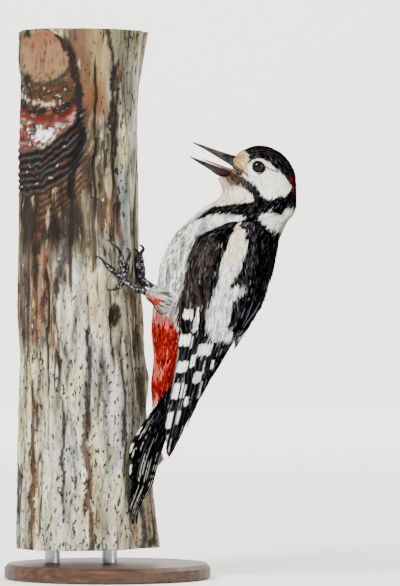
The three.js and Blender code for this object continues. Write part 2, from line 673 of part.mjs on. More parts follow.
// Each toe's joints as degrees and height, its claw's tip, and half its thickness.
const TOES = [
  { name: 'hallux', joints: [[20, 153.4], [24.5, 151.8]], claw: [33, 151], thick: 1.25 },
  { name: 'inner', joints: [[12.5, 160.5], [9.5, 166]], claw: [8, 172.5], thick: 1.35 },
  { name: 'middle', joints: [[17, 162.2], [19, 169.3]], claw: [27.5, 174.6], thick: 1.5 },
  { name: 'outer', joints: [[27, 160.6], [36, 164.3]], claw: [47, 168.6], thick: 1.4 },
];
const TOE_PADS = [1.15, 0.9, 1.06, 0.88, 1.04, 0.9, 0.78];
const CLAW_RADII = [0.95, 1.05, 1, 0.85, 0.68, 0.45, 0.2];

const sideways = ([x, y, z], sign) => new THREE.Vector3(x, sign * y, z);

// A point above the bark in the bird's frame, at an angle from the bird's mid-plane.
function onPerch([turn, z], above, sign) {
  const p = onTrunk(sign * turn + BIRD_TURN, z, above);
  return p.applyAxisAngle(new THREE.Vector3(0, 0, 1), -BIRD_TURN * RAD);
}

const palm = (sign) => onPerch(PALM, TOE_LIFT + 0.7, sign);

function thighForm(sign, out) {
  const curve = new THREE.CatmullRomCurve3([HIP, KNEE, HEEL].map((p) => sideways(p, sign)));
  const points = curve.getPoints(5);
  const end = points[5].clone().sub(points[4]).normalize();
  points[5].addScaledVector(end, out);
  return solid(taper(points, THIGH_RADII.map((r) => r + out), 12));
}

const thigh = (sign) => thighForm(sign, 0).subtract(bodyGrown());

function tarsus(sign) {
  const [start, end] = [sideways(HEEL, sign).add(new THREE.Vector3(1, 0, -0.2)), palm(sign)];
  const bow = (s) => new THREE.Vector3(0, 0, -4.4 * s * (1 - s));
  const path = [0, 0.3, 0.65, 1].map((s) => start.clone().lerp(end, s).add(bow(s)));
  const grown = union([thighForm(sign, CLEAR), footForm(sign, CLEAR)]);
  return solid(taper(path, [2, 1.55, 1.5, 1.7], 7)).subtract(grown);
}

function toePath(toe, sign) {
  const joints = toe.joints.map((place) => onPerch(place, TOE_LIFT, sign));
  return new THREE.CatmullRomCurve3([palm(sign), ...joints], false, 'catmullrom', 0.5).getPoints(6);
}

function footForm(sign, out) {
  const toes = TOES.map((toe) => {
    const radii = TOE_PADS.map((pad) => pad * toe.thick + out);
    return solid(taper(toePath(toe, sign), radii, 6));
  });
  return union([ball(palm(sign), 2.3 + out, 10, 6), ...toes]);
}

const foot = (sign) => footForm(sign, 0).subtract(barkGrown());

// A claw from the end of its toe: it arches out over the bark and comes down to it at its tip.
function claw(toe, sign) {
  const line = toePath(toe, sign);
  const ahead = line[6].clone().sub(line[5]).normalize();
  const root = line[6].clone().addScaledVector(ahead, CLEAR);
  const knuckle = root.clone().addScaledVector(ahead, 0.7);
  const [turn, z] = toe.joints.at(-1);
  const between = (share, rise) => [mix(turn, toe.claw[0], share), mix(z, toe.claw[1], rise)];
  const bends = [
    knuckle,
    onPerch(between(0.45, 0.6), TOE_LIFT + 1, sign),
    onPerch(between(0.8, 0.95), 1.5, sign),
    onPerch(toe.claw, GAP + 0.2, sign),
  ];
  const path = [root, ...new THREE.CatmullRomCurve3(bends).getPoints(5)];
  return solid(taper(path, CLAW_RADII, 6)).subtract(barkGrown());
}

// ---------------------------------------------------------------- the whole model
const model = new THREE.Group();

const base = solid(
  new THREE.LatheGeometry(
    [[0, 0], [BASE_RADIUS - 1, 0], [BASE_RADIUS, 1], [BASE_RADIUS, BASE_THICK - 2], [BASE_RADIUS - 2, BASE_THICK], [0, BASE_THICK]].map(
      ([r, z]) => new THREE.Vector2(r, z),
    ),
    40,
  ).rotateX(Math.PI / 2),
);
model.add(node('stand_base', base, STAND_WOOD));

[-1, 1].forEach((side, i) => {
  const height = ROD_LENGTH - 2 * GAP;
  const rod = new THREE.CylinderGeometry(ROD_RADIUS, ROD_RADIUS, height, 20).rotateX(Math.PI / 2);
  const mesh = node(`stand_rod_${i + 1}`, solid(rod), ROD_STEEL);
  mesh.position.set(TRUNK_X + side * ROD_SPREAD, 0, BASE_THICK + ROD_LENGTH / 2);
  model.add(mesh);
});

const trunk = new THREE.Group();
trunk.position.set(TRUNK_X, 0, 0);
model.add(trunk);
trunk.add(node('perch_trunk', trunkSolid(), BARK));

const bird = new THREE.Group();
bird.rotation.z = BIRD_TURN * RAD;
trunk.add(bird);

bird.add(node('torso', bodyLength(TORSO), WHITE_FEATHER));
bird.add(node('neck', bodyLength(NECK, 0, GAP), BLACK_FEATHER));
bird.add(node('head', headSolid(), BLACK_FEATHER));
bird.add(node('bill_upper', upperBill(), BILL_HORN));
bird.add(node('bill_lower', lowerBill(), BILL_HORN));
bird.add(node('tongue', tongue(), TONGUE_FLESH));
bird.add(node('tail', tailSolid(), BLACK_FEATHER));

for (const [side, sign] of [['left', -1], ['right', 1]]) {
  bird.add(node(`eye_${side}`, ball(eyeCentre(sign), EYE.radius, 14, 9), EYE_GLASS));
  bird.add(node(`wing_${side}`, wing(sign), BLACK_FEATHER));
  bird.add(node(`thigh_${side}`, thigh(sign), WHITE_FEATHER));
  bird.add(node(`tarsus_${side}`, tarsus(sign), LEG_SKIN));
  bird.add(node(`foot_${side}`, foot(sign), LEG_SKIN));
  TOES.forEach((toe) => bird.add(node(`claw_${toe.name}_${side}`, claw(toe, sign), CLAW_HORN)));
}

export default model;
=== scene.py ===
import bpy
import numpy as np
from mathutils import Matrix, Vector
from mathutils.kdtree import KDTree


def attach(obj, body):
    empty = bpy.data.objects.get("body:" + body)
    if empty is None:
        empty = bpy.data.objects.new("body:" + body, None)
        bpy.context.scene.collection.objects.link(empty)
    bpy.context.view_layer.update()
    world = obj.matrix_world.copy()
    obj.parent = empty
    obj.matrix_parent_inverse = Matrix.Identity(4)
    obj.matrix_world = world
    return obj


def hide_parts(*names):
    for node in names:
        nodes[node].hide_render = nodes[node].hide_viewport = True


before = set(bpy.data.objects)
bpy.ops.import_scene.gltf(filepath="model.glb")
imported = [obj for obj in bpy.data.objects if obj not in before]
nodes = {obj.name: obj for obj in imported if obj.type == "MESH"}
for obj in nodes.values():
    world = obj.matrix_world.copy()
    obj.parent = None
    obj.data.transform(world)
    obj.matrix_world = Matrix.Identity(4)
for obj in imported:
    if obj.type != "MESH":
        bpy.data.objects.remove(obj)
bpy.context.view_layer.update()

# ---------------------------------------------------------------- the cut length of trunk
# An upright length of old birch or aspen, sawn flat at both ends. Its bark is one closed skin, furrowed
# along the trunk, with a folded oval scar where a limb was shed, and it is pressed smooth under the feet.
def pairs(*numbers):
    return np.array(numbers, float).reshape(-1, 2)


TRUNK_X = -13.8  # millimetres from the base's middle to the trunk's axis
TRUNK_FOOT, TRUNK_TOP = 16.0, 286.3
BIRD_TURN = -28.0  # degrees about the trunk's axis to the bird's mid-plane
PLAIN_RADIUS = 32.4
TAIL_SIDE = pairs(  # height, and the radius on the bird's side
    16, 30.6, 29, 30.2, 44, 30.4, 57, 31.4, 72, 33, 97, 34, 128, 32.5, 154, 30.2, 189, 28.6, 220, 28.8, 256, 30.6,
    286, 33.8)
RIDGE = pairs(  # height, and how far the ridge by the tail stands out
    16, 12, 36, 9.5, 50, 7.5, 57, 8.5, 62, 12.5, 68, 10, 76, 3.5, 90, 1.5, 105, 3.5, 118, 1.5, 150, 0.8, 200, 0.5,
    286, 1)
RIDGE_AT = 12.0
KNOT_TURN, KNOT_HEIGHT, KNOT_WIDE, KNOT_TALL = -124.0, 272.0, 27.0, 14.5
HOLLOW_TURN, HOLLOW_HEIGHT, HOLLOW_WIDE, HOLLOW_TALL, HOLLOW_DEEP = -52.0, 135.0, 9.0, 7.0, 2.2
CRACK_WIDE = 360 / 44  # degrees from a main crack's middle to its lip
# The main cracks: the side of 44 round the trunk that each runs down, its two heights and its depth.
CRACKS = [
    (24, 148, 212, 1.7), (26, 60, 122, 1.5), (27, 176, 236, 1.3), (29, 96, 160, 1.7), (31, 34, 92, 1.5),
    (32, 150, 206, 1.5), (34, 78, 132, 1.6), (35, 190, 268, 1.6), (37, 110, 150, 1.3), (38, 206, 262, 1.4),
    (2, 120, 200, 1.5), (5, 60, 130, 1.6), (8, 170, 250, 1.5), (11, 90, 160, 1.6), (14, 190, 262, 1.5),
    (16, 50, 120, 1.6), (19, 130, 200, 1.6), (21, 220, 276, 1.4)]


def ease(x, low, high):
    s = np.clip((x - low) / (high - low), 0, 1)
    return s * s * (3 - 2 * s)


def fade(x, low, high):
    return 1 - ease(x, low, high)


def bump(x, width):
    return np.exp(-((x / width) ** 2))


def turn_between(a, b):
    return (a - b + 180) % 360 - 180


def table(rows, x):
    return np.interp(x, rows[:, 0], rows[:, 1])


def spots(x, y=0.0, z=0.0):
    return np.stack(np.broadcast_arrays(x, y, z), axis=-1)


def grain(points, seed):
    """Smooth random values from -1 to 1 over points in space, one cell per unit."""
    cell = np.floor(points).astype(np.int64)
    part = points - cell
    part = part * part * (3 - 2 * part)
    total = np.zeros(points.shape[:-1])
    for corner in range(8):
        step = np.array([corner & 1, corner >> 1 & 1, corner >> 2 & 1])
        h = (cell + step) @ np.array([374761393, 668265263, 2147483647]) + seed * 974634777
        h = (h ^ (h >> 13)) * 1274126177 & 0xFFFFFFFF
        value = ((h ^ (h >> 16)) & 0xFFFF) / 32767.5 - 1
        total += value * np.prod(np.where(step, part, 1 - part), axis=-1)
    return total


def crack_depth(turn, z, wide=CRACK_WIDE):
    """How deep the main cracks are at a place, read with lips as far apart as wanted."""
    depth = np.zeros(np.shape(turn))
    for side, low, high, deep in CRACKS:
        across = 1 - np.abs(turn_between(turn, side * CRACK_WIDE)) / wide
        length = ease(z, low - 8, low + 8) * fade(z, high - 8, high + 8)
        depth = np.maximum(depth, deep * np.maximum(0, across) * length)
    return depth


def from_knot(turn, z):
    """How far a place lies from the scar's middle; 1 is its rim."""
    return np.hypot(turn_between(turn, KNOT_TURN) / KNOT_WIDE, (z - KNOT_HEIGHT) / KNOT_TALL)


def trunk_radius(turn, z):
    rad = np.radians(turn)
    to_bird = turn_between(turn, BIRD_TURN)
    near = ease(np.cos(np.radians(to_bird)), -0.2, 0.85)
    r = PLAIN_RADIUS * (1 - near) + table(TAIL_SIDE, z) * near
    r = r + table(RIDGE, z) * bump(turn_between(turn, RIDGE_AT), 17)
    lean = 9 * np.sin(z / 41) + 0.06 * z
    furrows = 0.75 * np.cos(11 * np.radians(turn + lean))
    furrows = furrows + 0.45 * np.cos(17 * np.radians(turn - 0.7 * lean) + z / 17)
    swell = 0.8 * np.sin(z / 23 + 2 * rad)
    r = r + (furrows + swell - crack_depth(turn, z)) * (1 - 0.85 * pressed(turn, z))
    knot = from_knot(turn, z)
    r = r + 3.2 * bump(knot - 1.05, 0.28) - 1.4 * fade(knot, 0.5, 1)
    under = bump(turn_between(turn, KNOT_TURN), 38) * ease(z, 196, 216) * fade(z, 240, 250)
    r = r + 1.3 * under * np.cos((z - turn_between(turn, KNOT_TURN) ** 2 / 55) / 2.1)
    hole = np.hypot(turn_between(turn, HOLLOW_TURN) / HOLLOW_WIDE, (z - HOLLOW_HEIGHT) / HOLLOW_TALL)
    return r - HOLLOW_DEEP * fade(hole, 0.5, 1.1)


def pressed(turn, z):
    """1 where feet or tail press on the bark, 0 away from them."""
    feet = bump(turn_between(turn, BIRD_TURN), 55) * bump(z - 162, 22)
    tail = bump(turn_between(turn, BIRD_TURN), 30) * fade(z, 60, 90)
    return np.maximum(feet, tail)


def folds(turn, z):
    """The bark's folds that hang in bows under the scar: how strongly they show, their wave from -1 to 1, and the
    height that each place on a bow has at the bow's lowest point."""
    rad = np.radians(turn)
    drawn = spots(6 * np.cos(rad), 6 * np.sin(rad), z / 12)
    from_side = 32 * (1 + np.cos(rad))
    level = z - 17 * (from_side / 32) ** 2 + 1.6 * grain(drawn, 25) + 0.9 * grain(drawn * 2.4, 27)
    show = ease(level, 197, 202) * fade(level, 225, 229) * fade(from_side, 33, 38)
    show = show * ease(turn_between(turn, KNOT_TURN), -78, -62)
    return show, np.sin(level * 1.7), level


def bark_relief(turn, z):
    """Cracks, flakes and folds of the bark's surface in millimetres, and how deep each point lies in a crack."""
    rad = np.radians(turn)
    around = spots(9 * np.cos(rad), 9 * np.sin(rad), z / 46)
    wander = 0.5 * grain(around * [0.5, 0.5, 1.6], 3)
    crack = np.abs(grain(around + wander[:, None], 5))
    crack = fade(crack, 0.02, 0.2)
    crack = crack * ease(grain(around * [0.6, 0.6, 0.8], 8), -0.25, 0.4)
    fine = np.abs(grain(around * [2.6, 2.6, 3.4] + wander[:, None], 11))
    fine = fade(fine, 0.03, 0.28) * 0.5
    flakes = grain(around * [3.2, 3.2, 9], 14)
    grit = grain(around * [9, 9, 60], 17)
    calm = 1 - 0.75 * pressed(turn, z)
    sway = 1.6 * grain(spots(z / 9), 19) + 1.2 * fine
    split = ease(crack_depth(turn + sway, z, 2.6), 0.1, 0.8)
    depth = np.clip(crack + fine + split, 0, 1.2)
    relief = (-0.7 * crack - 0.35 * fine - 0.5 * split + 0.2 * flakes + 0.1 * grit - 0.1) * calm
    knot = from_knot(turn, z)
    disc = fade(knot, 0.75, 0.95)
    shag = bump(knot - 1.12, 0.2)
    relief = relief * (1 - disc) * (1 - 0.6 * shag) + 0.12 * disc * grit + 0.4 * shag * flakes
    show, wave, _ = folds(turn, z)
    relief = relief * (1 - 0.8 * show) + 0.45 * show * wave
    depth = np.clip(depth * (1 - disc) * (1 - show), 0, 1.2)
    return relief, depth


def new_mesh(name, points, faces, material, smooth=True):
    """An object from points in millimetres and an array of faces with the same number of corners."""
    faces = np.asarray(faces, np.int32)
    mesh = bpy.data.meshes.new(name)
    mesh.vertices.add(len(points))
    mesh.vertices.foreach_set("co", (np.asarray(points) * 0.001).astype(np.float32).ravel())
    mesh.loops.add(faces.size)
    mesh.loops.foreach_set("vertex_index", faces.ravel())
    mesh.polygons.add(len(faces))
    mesh.polygons.foreach_set("loop_start", np.arange(0, faces.size, faces.shape[1], dtype=np.int32))
    mesh.update(calc_edges=True)
    mesh.shade_smooth() if smooth else mesh.shade_flat()
    mesh.materials.append(material)
    piece = bpy.data.objects.new(name, mesh)
    bpy.context.scene.collection.objects.link(piece)
    return piece


def give_values(piece, name, values):
    """One number or one colour for each vertex, for a material to read."""
    values = np.asarray(values, np.float32)
    if values.ndim == 1:
        piece.data.attributes.new(name, "FLOAT", "POINT").data.foreach_set("value", values)
    else:
        rgba = np.ones((len(values), 4), np.float32)
        rgba[:, :3] = values
        piece.data.attributes.new(name, "FLOAT_COLOR", "POINT").data.foreach_set("color", rgba.ravel())


def give_map(piece, name, uv):
    """A UV map from one pair of numbers for each vertex."""
    corners = np.empty(len(piece.data.loops), np.int32)
    piece.data.loops.foreach_get("vertex_index", corners)
    layer = piece.data.uv_layers.new(name=name)
    layer.data.foreach_set("uv", np.asarray(uv, np.float32)[corners].ravel())


def sheet_faces(rows, cols, closed=False):
    """Quads of a grid of points, row after row; closed joins the last column to the first."""
    r, c = np.meshgrid(np.arange(rows - 1), np.arange(cols if closed else cols - 1), indexing="ij")
    r, c = r.ravel(), c.ravel()
    d = (c + 1) % cols
    return np.stack([r * cols + c, r * cols + d, (r + 1) * cols + d, (r + 1) * cols + c], axis=1)


def colour(red, green, blue):
    """A colour as a painter reads it off a chart (0 to 255), as the linear value that a shader takes."""
    c = np.array([red, green, blue]) / 255
    return np.where(c <= 0.04045, c / 12.92, ((c + 0.055) / 1.055) ** 2.4)


def canvas(count, tone):
    """Colours that start all one tone, and a brush that lays others over them as thickly as a mask says."""
    rgb = np.tile(colour(*tone), (count, 1))

    def lay(mask, tone, light=1.0):
        rgb[:] += (light * colour(*tone) - rgb) * np.clip(mask, 0, 1)[:, None]

    return rgb, lay


def new_material(name, roughness, **settings):
    """A material with one Principled shader, and the node tree that it is built in."""
    material = bpy.data.materials.new(name)
    material.use_nodes = True
    tree = material.node_tree
    shader = tree.nodes["Principled BSDF"]
    shader.inputs["Roughness"].default_value = roughness
    for socket, value in settings.items():
        shader.inputs[socket.replace("_", " ")].default_value = value
    return material, tree, shader


def add_node(tree, kind, links=(), **settings):
    """A shader node with its settings, its plain inputs and its links from other nodes' outputs."""
    made = tree.nodes.new(kind)
    for name, value in settings.items():
        setattr(made, name, value)
    for socket, value in dict(links).items():
        if isinstance(value, bpy.types.NodeSocket):
            tree.links.new(value, made.inputs[socket])
        else:
            made.inputs[socket].default_value = value
    return made


def ramp(tree, factor, stops):
    """A colour ramp over a value, from pairs of a place and a colour or a grey."""
    made = add_node(tree, "ShaderNodeValToRGB", {"Fac": factor})
    elements = made.color_ramp.elements
    while len(elements) < len(stops):
        elements.new(0.5)
    for element, (place, tone) in zip(elements, stops):
        element.position = place
        element.color = (*np.broadcast_to(tone, 3), 1)
    return made.outputs["Color"]


def mix_colours(tree, factor, a, b, blend="MIX"):
    made = tree.nodes.new("ShaderNodeMix")
    made.data_type = "RGBA"
    made.blend_type = blend
    for socket, value in ((made.inputs[0], factor), (made.inputs[6], a), (made.inputs[7], b)):
        if isinstance(value, bpy.types.NodeSocket):
            tree.links.new(value, socket)
        elif np.ndim(value):
            socket.default_value = (*value, 1)
        else:
            socket.default_value = value
    return made.outputs[2]


def carried(tree, name, output="Fac"):
    """What a piece carries at its vertices under a name."""
    return add_node(tree, "ShaderNodeAttribute", attribute_name=name).outputs[output]


def pattern(tree, scale, kind="Noise", output="Fac", stretch=None, lean=(0, 0, 0), shift=(0, 0, 0), **inputs):
    """A pattern over the space that the piece lies in, which may be stretched, leant and shifted first."""
    place = add_node(tree, "ShaderNodeTexCoord").outputs["Object"]
    if stretch:
        place = add_node(tree, "ShaderNodeMapping", {
            "Vector": place, "Location": shift, "Rotation": lean, "Scale": stretch}).outputs["Vector"]
    return add_node(tree, "ShaderNodeTex" + kind, {"Vector": place, "Scale": scale, **inputs}).outputs[output]


def math(tree, operation, *values):
    return add_node(tree, "ShaderNodeMath", dict(enumerate(values)), operation=operation).outputs["Value"]


def dress(tree, shader, tone, height=None, strength=0.5, deep=0.0002, invert=False):
    """Joins a colour to the shader, and with it a fine relief if there is one."""
    tree.links.new(tone, shader.inputs["Base Color"])
    if height is not None:
        raised = add_node(tree, "ShaderNodeBump", {"Height": height, "Strength": strength, "Distance": deep},
                          invert=invert)
        tree.links.new(raised.outputs["Normal"], shader.inputs["Normal"])


bark, tree, shader = new_material("weathered bark", 0.92, Specular_IOR_Level=0.2)
streaks = pattern(tree, 230, stretch=(1, 1, 0.16), Detail=6, Roughness=0.65)
lined = ramp(tree, streaks, [
    (0.32, (0.2, 0.18, 0.15)), (0.43, (0.66, 0.64, 0.6)), (0.54, (0.98, 0.98, 0.96)), (0.7, (1.24, 1.23, 1.18))])
tone, wear = carried(tree, "tint", "Color"), carried(tree, "wear")
# Patches of other tones, each from its own noise; the more worn the bark, the more of it they take.
for stretch_z, scale, low, high, by_wear, most, rgb in (
    (0.22, 130, 0.6, 0.68, 0.06, 0.7, (190, 176, 130)),
    (0.2, 170, 0.68, 0.75, 0.13, 0.85, (100, 66, 44)),
    (0.2, 150, 0.66, 0.74, 0.14, 0.85, (56, 44, 34)),
    (0.22, 210, 0.68, 0.74, 0.09, 0.7, (92, 102, 108)),
    (0.3, 260, 0.68, 0.75, 0.14, 0.9, (36, 32, 34)),
    (0.06, 560, 0.62, 0.68, 0.1, 0.75, (44, 36, 30)),
    (0.4, 300, 0.72, 0.77, 0.06, 0.85, (228, 225, 214)),
):
    noise = pattern(tree, scale, stretch=(1, 1, stretch_z), shift=(scale * 0.01, by_wear, low), Detail=4,
                    Roughness=0.6)
    where = ramp(tree, math(tree, "MULTIPLY_ADD", wear, by_wear, noise), [(low, 0), (high, most)])
    tone = mix_colours(tree, where, tone, colour(*rgb))
tone = mix_colours(tree, carried(tree, "streaked"), tone, lined, "MULTIPLY")
dashes = pattern(tree, 760, stretch=(1, 1, 0.4), lean=(0, 0.5, 0), Detail=2)
ticked = math(tree, "MULTIPLY_ADD", carried(tree, "ticks"), 0.07, dashes)
tone = mix_colours(tree, ramp(tree, ticked, [(0.655, 0), (0.69, 0.92)]), tone, colour(20, 17, 15))
# The cracks darken with their depth: partly the dark inner bark, partly painted shade in them.
tone = mix_colours(tree, ramp(tree, carried(tree, "depth"), [(0.3, 0), (1.0, 0.9)]), tone, colour(22, 17, 14))
dress(tree, shader, tone, streaks, 0.5, 0.0006)

TRUNK_ROWS, TRUNK_SIDES = 400, 220
heights = np.linspace(TRUNK_FOOT, TRUNK_TOP, TRUNK_ROWS)
turns = np.arange(TRUNK_SIDES) * 360 / TRUNK_SIDES
z, turn = [a.ravel() for a in np.meshgrid(heights, turns, indexing="ij")]
relief, in_cracks = bark_relief(turn, z)
radius = trunk_radius(turn, z) + relief
points = np.stack([TRUNK_X + radius * np.cos(np.radians(turn)), radius * np.sin(np.radians(turn)), z], axis=1)
quads, fans = [sheet_faces(TRUNK_ROWS, TRUNK_SIDES, closed=True)], []
# The sawn ends: rings drawn in towards the heart, then one small fan.
for first, height, way in ((0, TRUNK_FOOT, -1), ((TRUNK_ROWS - 1) * TRUNK_SIDES, TRUNK_TOP, 1)):
    edge = points[first:first + TRUNK_SIDES]
    ring = np.arange(first, first + TRUNK_SIDES)
    for share in (0.97, 0.86, 0.7, 0.52, 0.34, 0.16):
        fresh = np.arange(len(points), len(points) + TRUNK_SIDES)
        points = np.vstack([points, edge * [share, share, 1] + [TRUNK_X * (1 - share), 0, 0]])
        quads.append(np.stack([ring, np.roll(ring, -1), np.roll(fresh, -1), fresh], axis=1)[:, ::way])
        ring = fresh
    fans.append(np.stack([ring, np.roll(ring, -1), np.full(TRUNK_SIDES, len(points))], axis=1)[:, ::way])
    points = np.vstack([points, [[TRUNK_X, 0, height]]])
quads = np.vstack(quads)
triangles = np.vstack([quads[:, [0, 1, 2]], quads[:, [0, 2, 3]], *fans])
trunk = new_mesh("trunk_bark", points, triangles, bark)
give_values(trunk, "depth", np.concatenate([in_cracks, np.zeros(len(points) - len(in_cracks))]))


# Dark and rusty strokes down the bark: degrees and height at each end, half width in degrees, strength and colour.
STROKES = [
    (-113, 288, -99, 272, 4.0, 0.95, (34, 27, 22)), (-99, 273, -92, 253, 4.0, 0.95, (34, 26, 22)),
    (-92, 255, -88, 228, 4.2, 0.95, (26, 23, 22)), (-88, 230, -98, 202, 4.2, 0.92, (18, 17, 20)),
    (-64, 287, -58, 262, 2.2, 0.95, (44, 34, 28)), (-57, 264, -55.5, 232, 4.6, 0.98, (30, 24, 22)),
    (-55, 234, -50, 212, 3.4, 0.85, (66, 40, 28)), (-51, 214, -43, 176, 3.2, 0.75, (104, 66, 42)),
    (-77, 204, -76, 164, 2.0, 0.85, (42, 34, 34)), (-73, 236, -66, 205, 4.5, 0.75, (40, 36, 42)),
    (-82, 240, -78, 206, 3.2, 0.7, (66, 44, 36)), (-101, 180, -114, 150, 4.6, 0.9, (38, 34, 38)),
    (-113, 154, -111, 130, 2.6, 0.9, (30, 30, 34)), (-118, 184, -101, 178, 3.5, 0.85, (38, 32, 30)),
    (-152, 190, -150, 122, 8.0, 0.7, (58, 50, 56)), (-136, 176, -133, 132, 4.5, 0.85, (152, 84, 44)),
    (-125, 168, -126, 140, 2.2, 0.85, (118, 36, 26)), (-103, 120, -100, 108, 1.8, 0.8, (60, 56, 66)),
    (-142, 94, -140, 20, 5.0, 0.95, (92, 54, 36)), (-85, 86, -79, 18, 3.6, 0.95, (98, 66, 50)),
    (-84, 128, -84, 74, 1.3, 0.7, (48, 42, 40)), (-71, 122, -69, 88, 1.5, 0.65, (72, 60, 48)),
    (-62, 80, -63, 40, 1.0, 0.6, (74, 92, 96)), (-120, 66, -120, 36, 1.2, 0.5, (112, 122, 128)),
    (-96, 66, -95, 34, 1.6, 0.8, (120, 128, 140)), (-112, 132, -106, 96, 1.6, 0.9, (60, 60, 76)),
    (-128, 124, -132, 84, 1.6, 0.8, (80, 84, 104)), (-71, 118, -68, 84, 3.0, 0.6, (96, 74, 56)),
    (-138, 100, -137, 90, 4.0, 0.9, (110, 66, 40)), (-26, 52, -26, 22, 9.0, 0.75, (190, 150, 116)),
    (-12, 56, -10, 17, 4.0, 0.9, (58, 50, 46)), (-30, 40, -31, 30, 3.0, 0.7, (112, 82, 62))]


